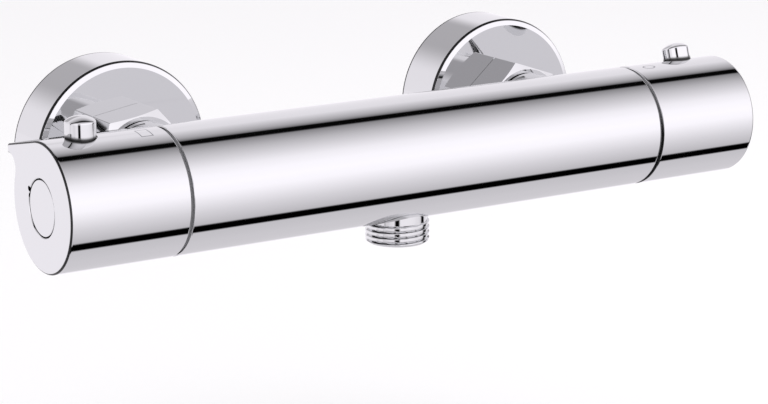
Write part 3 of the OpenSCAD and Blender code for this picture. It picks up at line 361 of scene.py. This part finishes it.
for name, side in SIDES.items():
    length = HANDLE_END - HANDLE_START
    rings = [(HANDLE_START + SEAM * (1 - c), SEAM * (1 - s)) for s, c in quarter(3)]
    rings += [(HANDLE_START + length * share, 0) for share in (0.25, 0.5, 0.75, 0.9)]
    rings += [(HANDLE_END - RIM * (1 - s), RIM * (1 - c)) for s, c in quarter(6)]
    shell = wrapped(name + "_handle_shell", [
        [AXIS + Vector((side * x, *point)) for point in handle_outline(inset, REST_TURN[name])]
        for x, inset in rings])
    cut(shell, turned("inside", [
        # room for the neck and the cartridge, and the ring that grips the cap
        (0, 80), (17.5, 80), (17.5, 126), (10.53, 126), (10.53, 123.6), (8.73, 123.6),
        # the cap's hole, a little wider towards the end face
        (8.73, 127.9), (8.95, 128.1), (8.95, 128.8), (9.15, 129), (9.15, 131), (0, 131),
    ], AXIS, (side, 0, 0)))
    cut(shell, turned("hole", [
        (0, 12), (4.83, 12), (4.83, 18.7), (5.05, 18.9), (5.05, 24), (0, 24)],
        *button_axis(name), steps=64))
    notch = [Vector((0, NOTCH_HALF)), Vector((0, -NOTCH_HALF))] + [
        Vector((NOTCH_END + NOTCH_HALF * math.cos(a), NOTCH_HALF * math.sin(a)))
        for a in (math.pi / 10 * k - math.pi / 2 for k in range(11))]
    turn = Matrix.Rotation(NOTCH_TURN + REST_TURN[name], 2)
    cut(shell, wrapped("notch", [
        [AXIS + Vector((side * x, *(turn @ p))) * MM for p in notch]
        for x in (NOTCH_FLOOR, 131)]))
    tidy(shell)
    smooth(shell)
    true_round(shell)
    dress(shell, TURNS_ON[name], name + "_handle")

# %% [markdown]
# ## End caps and stop buttons
# Each handle is closed by a small flat cap pressed into its end, and the notch beside it takes a
# blade that lifts it out. The domed button on top is pressed to turn past the stop. Both are
# turned parts with softened edges, and the button's dome is an arc in its profile.

# %% End caps and stop buttons
BUTTONS = {"flow": "flow_button", "warm": "temperature_button"}
STEM_R, DOME_R, DOME_EDGE = 4.75, 7.6, 4.1
DOME_TOP = {"flow": 26.7, "warm": 26.0}
DOME_STEPS = 10
for name, side in SIDES.items():
    cap = turned(name + "_cap_disc", [
        (0, 128.88), (8.55, 128.88, 0.2), (8.55, 123.6), (7.65, 123.6), (7.65, 126.1),
        (0, 126.1)], AXIS, (side, 0, 0), steps=96)
    smooth(cap)
    dress(cap, TURNS_ON[name], name + "_end_cap")
    middle = DOME_TOP[name] - DOME_R
    shoulder = middle + math.sqrt(DOME_R**2 - STEM_R**2)
    widest = math.asin(DOME_EDGE / DOME_R)
    dome = [(DOME_R * math.sin(a), middle + DOME_R * math.cos(a))
            for a in (widest * (1 - k / DOME_STEPS) for k in range(DOME_STEPS + 1))]
    button = turned(name + "_domed_button", [
        (0, 11.439), (1.9, 11.439, 0.2), (1.9, 14.639), (6, 14.639, 0.15), (6, 16.139, 0.15),
        (STEM_R, 16.139), (STEM_R, shoulder, 0.9), *dome], *button_axis(name), steps=64)
    smooth(button)
    dress(button, BUTTONS[name], name + "_stop_button")

# %% [markdown]
# ## Wall flanges and union nuts
# The flanges are spun from brass sheet: a cup that hides the hole in the wall. One is made, then
# copied. Each union nut is a hexagon with its front corners turned away, so the arcs of its
# chamfer come from crossing a hexagonal bar with a turned blank. The two nuts stand as they were
# tightened, each at a turn of its own.

# %% Wall flanges and union nuts
def copy_of(piece, name, shift):
    """Copies a piece with a mesh of its own, and moves the mesh."""
    pick(piece)
    bpy.ops.object.duplicate()
    twin = bpy.context.object
    twin.name = twin.data.name = name
    twin.data.transform(Matrix.Translation(shift))
    return twin


def on_supply(x):
    """Centre of a supply where it leaves the wall."""
    return Vector((x, 0, AXIS.z))


flange = turned("hot_flange_cup", [
    # collar on the union, then the inside of the cup down to the wall
    (13.28, 10), (15.48, 10, 0.2), (15.48, 17.4), (28.15, 17.4), (28.65, 16.9), (28.65, 0),
    # outside, with a rim rounded in three steps, and the flat front
    (30.25, 0, 0.2), (30.25, 17.53, 0.3), (29.725, 18.475, 0.3), (28.15, 19, 0.3),
    (13.28, 19), (13.28, 10)], on_supply(INLETS["hot"]), (0, -1, 0), steps=160)
smooth(flange, 20)
cold_flange = copy_of(flange, "cold_flange_cup", (INLETS["cold"] - INLETS["hot"], 0, 0))
dress(flange, "valve", "hot_wall_flange")
dress(cold_flange, "valve", "cold_wall_flange")

NUT_TURNS = {"hot": math.radians(9.5), "cold": math.radians(41)}
NUT_BACK, NUT_FRONT = 19.1, 33.1
HEX_CORNER, HEX_ROUND = 30 / math.sqrt(3), 0.5  # 30 mm across the flats
for name, turn in NUT_TURNS.items():
    supply = on_supply(INLETS[name])
    inner = HEX_CORNER - HEX_ROUND / math.cos(math.pi / 6)
    hexagon = [
        Matrix.Rotation(turn + math.pi / 3 * k, 2) @ (
            Vector((inner, 0)) + HEX_ROUND * Vector((math.cos(a), math.sin(a))))
        for k in range(6) for a in (math.pi / 24 * i for i in range(-4, 5))]
    nut = wrapped(name + "_hex_nut", [
        [supply + Vector((p.x, -y, p.y)) * MM for p in hexagon] for y in (NUT_BACK, NUT_FRONT)])
    cut(nut, turned("blank", [
        (0, NUT_BACK), (16.82, NUT_BACK, 0.1), (17.6, 19.88), (17.6, 31.37),
        (14.6, NUT_FRONT, 0.2), (0, NUT_FRONT)], supply, (0, -1, 0), steps=192), "INTERSECT")
    cut(nut, turned("nut_bore", [
        (0, 15), (13.28, 15), (13.28, 30.1), (10.4, 30.1), (10.4, 32.9), (10.6, NUT_FRONT),
        (10.6, 35), (0, 35)], supply, (0, -1, 0), steps=96))
    tidy(nut)
    smooth(nut, 20)
    dress(nut, "valve", name + "_union_nut")

# %% [markdown]
# ## The outlet's thread
# The hose screws on to a G 1/2 thread under the bar. A pipe thread has rounded crests and roots,
# so the thread is a wave that climbs once per turn: each point's phase comes from its height and
# its angle. The rings of points are closed into a tube, outside and bore together.

# %% The outlet's thread
RUN_OUT = 0.6 * MM
RINGS_A_TURN = 16


def screwed(name, outside, bore, start, end, centre, axis, shift=0.0, steps=120):
    """A hollow piece whose outside ends in a screw thread between two places, in mm. The thread
    is turned by shift, a share of one turn."""
    count = round((end - start) / THREAD_PITCH * MM * RINGS_A_TURN)
    rings = [[(p.x, p.y)] * steps for p in soft(outside)]
    for i in range(1, count + 1):
        place = start * MM + (end - start) * MM * i / count
        lead = max(0, RUN_OUT - (end * MM - place))
        ring = []
        for k in range(steps):
            phase = (place / THREAD_PITCH - k / steps + shift) % 1
            groove = max(0, 1 - abs(phase - 0.5) / THREAD_SHARE)
            deep = THREAD_DEEP * (1 - math.cos(math.pi * groove)) / 2
            ring.append((min(THREAD_R - deep, THREAD_R - lead), place))
        rings.append(ring)
    rings += [[(p.x, p.y)] * steps for p in soft(bore)]
    turns = [2 * math.pi * k / steps for k in range(steps)]
    piece = wrapped(name, [
        [Vector((r * math.cos(a), r * math.sin(a), z)) for a, (r, z) in zip(turns, ring)]
        for ring in rings])
    stand(piece, centre, axis)
    smooth(piece, 40)
    return piece


nipple = screwed(
    "outlet_thread", [(7.4, 13), (7.4, 16.8), (9.6, 16.8, 0.15), (9.6, 20.3)],
    [(5.6, 27.2), (5.6, 13), (7.4, 13)], 20.3, 27.2, OUTLET_AT, (0, 0, -1), shift=0.82)
dress(nipple, "valve", "outlet_nipple")

# %% [markdown]
# ## A short way to write shader nodes
# A finish is a formula: noise stretched here, a mask there, then a mix. `Wire` stands for one
# output of a node, and adding, multiplying or comparing wires adds the nodes that do it.

# %% Wires between shader nodes
class Wire:
    """One output of a shader node, with the arithmetic that shader nodes offer."""

    def __init__(self, tree, socket=None):
        self.tree, self.socket = tree, socket

    def node(self, kind, settings=(), inputs=(), output=0):
        """Adds a node of a kind: first its settings, then values or links for its sockets."""
        made = self.tree.nodes.new("ShaderNode" + kind)
        for key, value in dict(settings).items():
            setattr(made, key, value)
        for key, value in dict(inputs).items():
            if isinstance(value, Wire):
                self.tree.links.new(value.socket, made.inputs[key])
            else:
                made.inputs[key].default_value = value
        return Wire(self.tree, made.outputs[output])

    def math(self, operation, *others):
        return self.node("Math", {"operation": operation}, enumerate((self, *others)))

    def __add__(self, other):
        return self.math("ADD", other)

    def __sub__(self, other):
        return self.math("SUBTRACT", other)

    def __rsub__(self, other):
        return (self * -1) + other

    def __mul__(self, other):
        return self.math("MULTIPLY", other)

    def __truediv__(self, other):
        return self.math("DIVIDE", other)

    def __neg__(self):
        return self.math("MULTIPLY", -1)

    def __abs__(self):
        return self.math("ABSOLUTE")

    def __gt__(self, other):
        return self.math("GREATER_THAN", other)

    def __lt__(self, other):
        return self.math("LESS_THAN", other)

    def larger(self, other):
        return self.math("MAXIMUM", other)

    def ramp(self, low, high, start=0.0, end=1.0):
        """Runs from start to end, smoothly, while the wire runs from low to high."""
        return self.node("MapRange", {"interpolation_type": "SMOOTHSTEP"}, {
            "Value": self, "From Min": low, "From Max": high, "To Min": start, "To Max": end})

    def between(self, first, second):
        """Colour that goes from first to second as the wire goes from 0 to 1."""
        return self.node("Mix", {"data_type": "RGBA"}, {0: self, 6: first, 7: second}, 2)

    def tinted(self, tint):
        """Colour multiplied by another."""
        return self.node("Mix", {"data_type": "RGBA", "blend_type": "MULTIPLY"},
                         {0: 1.0, 6: self, 7: (*tint, 1)}, 2)

    def scaled(self, x, y, z):
        """Vector stretched by a factor on each axis."""
        return self.node("VectorMath", {"operation": "MULTIPLY"}, {0: self, 1: (x, y, z)})

    def noise(self, scale, detail=2.0, rough=0.5):
        return self.node("TexNoise", (), {
            "Vector": self, "Scale": scale, "Detail": detail, "Roughness": rough})

    def axes(self):
        return [self.node("SeparateXYZ", (), {0: self}, i) for i in range(3)]

    def bump(self, deep, strength=1.0):
        """Normal of a surface raised by the wire, up to deep metres."""
        return self.node("Bump", (), {"Height": self, "Distance": deep, "Strength": strength})


def material(name, **constants):
    """A new material: its name, its Principled shader's constants, and its Object coordinates."""
    made = bpy.data.materials.new(name)
    made.use_nodes = True
    shader = made.node_tree.nodes["Principled BSDF"]
    for key, value in constants.items():
        shader.inputs[key.replace("_", " ")].default_value = value
    place = Wire(made.node_tree).node("TexCoord", output=3)
    return made, shader, place


def connect(shader, **wires):
    """Links wires to sockets of a shader."""
    for key, wire in wires.items():
        wire.tree.links.new(wire.socket, shader.inputs[key.replace("_", " ")])


print("a wire can be:", ", ".join(name for name in vars(Wire) if name[0] != "_"))

# %% [markdown]
# ## Signs, and painted dark lines and shade
# Each handle carries a plain engraved sign, a frame or a ring, worked out from the distance to
# its line. Edges and feet get a fine dark line painted into the chrome's colour: painted shadow
# at the right seam, the flanges' feet and the feet of the buttons, and a painted reflection,
# where one rounded rim mirrors the next, on the handles' end rims and the flanges' rims. Masks
# made from the place on the piece paint these lines, and paint shade on the inside of the handles.

# %% Signs, and painted dark lines and shade
MARK_LINE = 0.3 * MM
# the second colour is painted shade: it paints the dark lines and the dark inside of the handles
# into the chrome
MARK_COLOUR, PAINTED_SHADE_COLOUR = (0.3, 0.305, 0.32, 1), (0.05, 0.05, 0.05, 1)
FRAME_LONG, FRAME_WIDE = 1.9 * MM, 2.5 * MM
RING_LONG, RING_FLAT, RING_THIN = 2.2 * MM, 2.4, 0.6
# where painted shade and painted dark lines fall: the handles' bore, right seam and end rims, the
# flanges' rims, and the fade of the painted shade round a button's foot
BORE_R, BORE_END = 17.8 * MM, HANDLE_END - 0.3 * MM
SEAM_END, SEAM_RISE = HANDLE_START + 0.2 * MM, 12 * MM
RIM_R, RIM_FROM, RIM_TO = 15 * MM, HANDLE_END - 0.6 * MM, HANDLE_END - 0.07 * MM
FLANGE_RIM = (-18.45 * MM, -17.6 * MM)
CORE_FADE = 1.1 * MM


def frame_mark(along, around):
    """Distance to the outline of a rectangle."""
    return abs((abs(along) - FRAME_LONG).larger(abs(around) - FRAME_WIDE))


def ring_mark(along, around):
    """Distance to a ring that is longer along the bar than round it."""
    across = (along * along + around * around * RING_FLAT).math("SQRT")
    return abs(across - RING_LONG) * RING_THIN


def painted_shade_in_handle(x, up, away):
    """Painted shade: the inside of the shell, a painted shadow at the right seam that fades from
    the axis up, and a painted dark reflection line on the rim of the end face. The wires are the
    place along the bar, the height over its axis and the distance from it."""
    end = abs(x)
    inside = (away < BORE_R) * (end < BORE_END)
    seam = (x > 0) * (x < SEAM_END) * up.ramp(0, SEAM_RISE, 1, 0)
    rim = (end > RIM_FROM) * (end < RIM_TO) * (away > RIM_R)
    return inside.larger(seam).larger(rim)


print(f"a sign's line is {MARK_LINE / MM:.1f} mm wide, a rim's {(RIM_TO - RIM_FROM) / MM:.2f} mm")

# %% [markdown]
# ## Chrome
# Chrome plate is a mirror a few thousandths of a millimetre thick, so the polish below it shows:
# faint lines from the wheel, and thin smears of limescale and fingerprints that only spread a
# highlight. Roughness carries nearly all of this. One function makes every chrome finish, so
# that the pieces look plated in one bath.

# %% Chrome
SHINE = 0.76  # how much of the light comes back


def chrome(name, lines=(1, 1, 1), mark=None, mark_at=(0, 0), core=0.0, foot=0.0):
    """Chrome plate: lines stretches the polishing lines, and mark_at is (x, angle) of a handle's
    sign; that handle also gets painted shade inside and at the right seam and a painted dark line
    on its end rim. A button gets painted shade nearer the bar's axis than core, and a flange gets a
    painted shadow nearer the wall than foot and a painted dark reflection line along its rim."""
    made, shader, place = material(name, Metallic=1.0, Specular_IOR_Level=0.5)
    smear = place.noise(38, 4, 0.62).ramp(0.45, 0.78)
    line = place.scaled(*lines).noise(900, 3, 0.6)
    colour = (place.noise(14, 2) * 0.6 + line * 0.4).between(
        (SHINE * 0.985, SHINE * 0.99, SHINE, 1), (SHINE * 1.005, SHINE * 1.01, SHINE * 1.02, 1))
    rough = line * 0.018 + smear * 0.022 + 0.022
    height = line * 0.25 + place.noise(60, 2) * 0.75
    x, y, z = place.axes()
    front, up = y - AXIS.y, z - AXIS.z
    away = (front * front + up * up).math("SQRT")
    # dark holds painted shade and painted dark lines, which are laid over the chrome's colour below
    dark = None
    if mark:
        turn = up.math("ARCTAN2", -front) - mark_at[1]
        groove = mark(x - mark_at[0], turn * BAR_R).ramp(MARK_LINE * 0.4, MARK_LINE * 0.75, 1, 0)
        groove = groove * (turn.math("COSINE") > 0.5)
        colour = groove.between(colour, MARK_COLOUR)
        rough = rough + groove * 0.25
        dark = painted_shade_in_handle(x, up, away)
    elif core:
        dark = away.ramp(core, core + CORE_FADE, 1, 0)
    elif foot:
        dark = (y > -foot).larger((y > FLANGE_RIM[0]) * (y < FLANGE_RIM[1]))
    if dark:
        colour = dark.between(colour, PAINTED_SHADE_COLOUR)
        rough = rough + dark * 0.3
    connect(shader, Base_Color=colour, Roughness=rough, Normal=height.bump(0.4e-6))
    return made


print(f"chrome gives back {SHINE:.0%} of the light")

# %% [markdown]
# ## The other finishes
# Behind the chrome the valve is machined brass, moulded plastic and rubber, sprung steel, a copper
# sensor and two ceramic discs. Machined metal keeps fine tool lines and dulls unevenly; moulded
# parts have a fine spark-eroded grain and slightly uneven colour; lapped ceramic is almost
# polished, with small grey specks.

# %% Machined metal, mouldings and ceramic
def times(colour, factor):
    """A colour made darker or brighter, as a shader takes it."""
    return (*(c * factor for c in colour), 1)


def machined(name, colour, rough, lines, tarnish):
    """Bare metal with tool lines stretched by lines, and an uneven dulling."""
    made, shader, place = material(name, Metallic=1.0)
    line = place.scaled(*lines).noise(700, 4, 0.65)
    dull = place.noise(90, 5, 0.6).ramp(0.4, 0.75)
    shade = (line * 0.5).between((*colour, 1), times(colour, 0.82))
    connect(shader, Base_Color=(dull * tarnish).between(shade, times(colour, 0.5)),
            Roughness=line * 0.14 + dull * 0.18 + rough, Normal=line.bump(4e-6, 0.6))
    return made


def moulded(name, colour, rough, grain, deep, dust=0.0, coat=0.0):
    """Plastic or rubber with a spark-eroded grain, and dust on some of it."""
    made, shader, place = material(name, IOR=1.5, Coat_Weight=coat, Coat_Roughness=0.2)
    pores = place.noise(grain, 4, 0.6)
    flow = place.noise(25, 2).ramp(0.3, 0.7)
    shade = (flow * 0.6 + pores * 0.4).between((*colour, 1), times(colour, 0.86))
    dusty = place.noise(120, 5, 0.7).ramp(0.5, 0.85) * dust
    connect(shader, Base_Color=dusty.between(shade, (0.42, 0.41, 0.4, 1)),
            Roughness=pores * 0.15 + flow * 0.05 + dusty * 0.3 + rough, Normal=pores.bump(deep))
    return made


def lapped(name, colour):
    """Ceramic that is almost polished, with small grey specks."""
    made, shader, place = material(name, IOR=1.77)
    cells = place.node("TexVoronoi", {"feature": "F1"}, {"Vector": place, "Scale": 2600.0})
    specks = cells.ramp(0.05, 0.22, 1, 0) * place.noise(800, 2).ramp(0.52, 0.6)
    swirl = place.noise(300, 3)
    connect(shader, Base_Color=specks.between((*colour, 1), (0.55, 0.55, 0.56, 1)),
            Roughness=swirl * 0.08 + specks * 0.2 + 0.1, Normal=(swirl - specks * 0.5).bump(1e-6))
    return made


finishes = {
    "brass": machined("machined_brass", (0.72, 0.52, 0.22), 0.18, (1, 6, 6), 0.5),
    "copper": machined("drawn_copper", (0.78, 0.42, 0.27), 0.22, (0.2, 4, 4), 0.6),
    "steel": machined("stainless_steel", (0.56, 0.57, 0.6), 0.2, (4, 1, 1), 0.2),
    "rubber": moulded("sealing_rubber", (0.025, 0.025, 0.027), 0.5, 2500, 12e-6, 0.35),
    "dark_plastic": moulded("bearing_plastic", (0.26, 0.26, 0.27), 0.3, 3500, 8e-6, 0.2),
    "white_plastic": moulded("acetal_plastic", (0.8, 0.8, 0.77), 0.3, 3500, 8e-6, 0, 0.1),
    "blue_plastic": moulded("tinted_plastic", (0.1, 0.2, 0.5), 0.32, 3500, 8e-6, 0, 0.1),
    "ceramic": lapped("lapped_ceramic", (0.83, 0.81, 0.75)),
}
turned_chrome = chrome("chrome_round_bar", (14, 1, 1))
# the flanges' chrome carries a painted shadow at the wall and a painted dark reflection line along
# the rim
spun_chrome = chrome("chrome_off_wall", (1, 10, 1), foot=0.7 * MM)
small_chrome = chrome("chrome_small", (2, 2, 2))
# the buttons' chrome carries painted shade round their feet
button_chrome = chrome("chrome_button", (2, 2, 2), core=20.4 * MM)
by_piece = {
    "bar_body": turned_chrome,
    # a handle's chrome carries its engraved sign, painted shade inside and at the right seam, and a
    # painted dark line on its end rim
    "flow_handle_shell": chrome(
        "chrome_flow_handle", (14, 1, 1), frame_mark, (-96.5 * MM, math.radians(80))),
    "warm_handle_shell": chrome(
        "chrome_warm_handle", (14, 1, 1), ring_mark, (96.4 * MM, math.radians(83))),
    "flow_domed_button": button_chrome, "warm_domed_button": button_chrome,
}
for part in frame["record"]["subparts"]:
    nodes[part["node"]].data.materials.clear()
    nodes[part["node"]].data.materials.append(finishes.get(part["material_slot"], small_chrome))
for piece in pieces:
    wide = "flange" in piece.name or "nut" in piece.name
    piece.data.materials.clear()
    piece.data.materials.append(by_piece.get(piece.name, spun_chrome if wide else small_chrome))
worn = {piece.data.materials[0].name for piece in (*nodes.values(), *pieces)}
print("finishes in use:", len(worn))

# %% [markdown]
# ## The studio in the chrome
# A mirror has no looks of its own: it shows the room. Product photographers build that room from
# white paper and black card, so the world is painted as such a room. Round the bar's axis it
# runs from the wall behind, over the ceiling, to the user's side and down to the table. Upright
# cards stand in it: the camera, the hood over it, one at the user's right and a post at the left.
# Chrome that mirrors other chrome shows plain tones, a step for each bounce. Only mirrors see the
# room: the camera sees white, and plain surfaces are lit evenly.

# %% The studio in the chrome
ROOM = [  # angle round the bar from the user's side, up positive; brightness as the eye reads it
    (-180, 0.89), (-165, 0.905), (-150, 0.90), (-140, 0.78), (-100, 0.78), (-73, 0.755),
    (-70.5, 0.02), (-58, 0.02), (-56, 0.72),                        # black edge of the table
    (-31, 0.83), (-15, 0.91), (0, 0.98), (15, 1.0), (30, 0.985),    # bright front
    (44, 0.94), (60, 0.83), (75, 0.715), (92, 0.52),                # darker towards the ceiling
    (94.5, 0.05), (104, 0.05), (106.5, 0.47),                       # black card overhead
    (113, 0.64), (122, 0.745), (135, 0.86), (150, 0.87), (180, 0.88),
]
CARDS = [  # middle in degrees right of straight ahead, half width, lowest and highest z, brightness
    (-32.4, 9, -0.36, -0.06, 0.03),   # the camera
    (-32.4, 9, 0.2, 0.48, 0.03),      # and the hood over it
    (84, 10, -0.55, 0.12, 0.04),      # at the user's right
    (-97, 5, -0.17, 0.26, 0.05),      # a post at the user's left
]
CARD_TURN, CARD_RISE = 4, 0.06  # softness of a card's edges, in degrees and in z
TINT = (1.0, 0.968, 1.02)
EVEN_LIGHT, WHITE = (0.95, 0.935, 0.95, 1), (1, 1, 1, 1)
ENDS, TWICE, TWICE_LEFT, THRICE, DEEP = 0.9, 0.885, 0.7, 0.93, 0.25
WALL_SHADE = 0.655  # of a darker patch on the wall, over the valve
PATCH_RISE, PATCH_FALL = (42, 66), (106, 150)  # degrees round the patch, from the right
END_FADE, LEFT_FADE, WALL_FADE = (0.9, 0.99), (0.1, 0.38), (0.72, 0.79)
FAR_RIGHT = 0.4
EYE = 2.2  # brightness as the eye reads it, to the power of this, is light
print("room:", len(ROOM), "stops and", len(CARDS), "cards")

# %% [markdown]
# ## What each mirror sees
# The world is one formula of the direction in which a ray leaves the valve. Its turn round the
# bar's axis picks a tone from the bands, and the cards and a darker patch of wall are laid over
# that. The count of bounces tells which rays have met chrome before.

# %% What each mirror sees
world = scene.world = bpy.data.worlds.new("studio")
world.use_nodes = True
tree = world.node_tree
tree.nodes.clear()
look = Wire(tree).node("TexCoord", output=0)
bounces = look.node("LightPath", output="Glossy Depth")
second = bounces > 1.5
x, y, z = look.axes()
rising = second * (z > 0) * (y < 0) * (x < FAR_RIGHT)
y = y + (abs(y) - y) * rising  # the image of a button in its handle shows the wall again
turn = z.math("ARCTAN2", -y) / (2 * math.pi) + 0.5
band = turn.node("ValToRGB", (), {"Fac": turn})
stops = band.socket.node.color_ramp.elements
while len(stops) < len(ROOM):
    stops.new(0.5)
for stop, (angle, bright) in zip(stops, ROOM):
    stop.position = angle / 360 + 0.5
    stop.color = (*[bright ** EYE / SHINE] * 3, 1)


def plain(bright):
    """Colour that mirrors show as bright once they have lost a little of it."""
    return times(TINT, bright ** EYE / SHINE)


def fade(angle, low, high, *ends):
    """A ramp over an angle, with its ends in degrees."""
    return angle.ramp(math.radians(low), math.radians(high), *ends)


room = abs(x).ramp(*END_FADE).between(band.tinted(TINT), plain(ENDS))
again = x.ramp(*LEFT_FADE).between(plain(TWICE_LEFT), plain(TWICE))
room = (second - rising).between(room, again)
for middle, half, low, high, bright in CARDS:
    aside = abs(x.math("ARCTAN2", -y) - math.radians(middle))
    card = fade(aside, half - CARD_TURN, half + CARD_TURN, 1, 0)
    card = card * z.ramp(low - CARD_RISE, low + CARD_RISE)
    card = card * z.ramp(high - CARD_RISE, high + CARD_RISE, 1, 0) * (1 - rising)
    room = card.between(room, plain(bright))
round_wall = z.math("ARCTAN2", x)
patch = fade(round_wall, *PATCH_RISE) * fade(round_wall, *PATCH_FALL, 1, 0)
patch = patch * y.ramp(*WALL_FADE)
room = patch.between(room, plain(WALL_SHADE))
for bounce, bright in (2.5, THRICE), (3.5, DEEP):
    room = (bounces > bounce).between(room, plain(bright))
seen = look.node("LightPath", output="Is Glossy Ray").between(EVEN_LIGHT, room)
seen = look.node("LightPath", output="Is Camera Ray").between(seen, WHITE)
back = look.node("Background", (), {"Color": seen, "Strength": 1.0})
tree.links.new(back.socket, tree.nodes.new("ShaderNodeOutputWorld").inputs["Surface"])
print("nodes in the world:", len(tree.nodes))

# %% [markdown]
# ## Floor and light
# A pale floor well below the valve catches a faint soft shadow. It stays out of the chrome, and
# from below it is clear, so that the valve can be looked at from there too.

# %% Floor and light
FLOOR_Z = -0.13
LAMP_AT, LAMP_AIM = Vector((0.5, -0.5, 1.2)), Vector((-0.02, -0.05, 0))
bpy.ops.object.select_all(action="DESELECT")
bpy.ops.mesh.primitive_plane_add(size=12, location=(0, 0, FLOOR_Z))
floor = bpy.context.object
floor.name = "studio_floor"
floor.visible_glossy = False
made, shader, place = material("floor_paper", Roughness=0.9)
fibre = place.noise(400, 3)
connect(shader, Base_Color=fibre.between((0.93, 0.93, 0.935, 1), (0.945, 0.945, 0.95, 1)),
        Roughness=fibre * 0.1 + 0.85)
below = place.node("NewGeometry", output="Backfacing")
clear = place.node("BsdfTransparent")
paper = Wire(made.node_tree, shader.outputs[0])
mixed = below.node("MixShader", (), {0: below, 1: paper, 2: clear})
made.node_tree.links.new(mixed.socket, made.node_tree.nodes["Material Output"].inputs["Surface"])
floor.data.materials.append(made)

bpy.ops.object.light_add(type="AREA", location=LAMP_AT)
lamp = bpy.context.object
lamp.name = "soft_lamp"
lamp.data.shape, lamp.data.size = "DISK", 1.1
lamp.data.energy = 5
lamp.visible_glossy = False
lamp.rotation_euler = (LAMP_AIM - LAMP_AT).to_track_quat("-Z", "Y").to_euler()
print("floor at", FLOOR_Z, "m, lamp of", lamp.data.energy, "W")

# %% [markdown]
# The visual model must be as big as the CAD model.
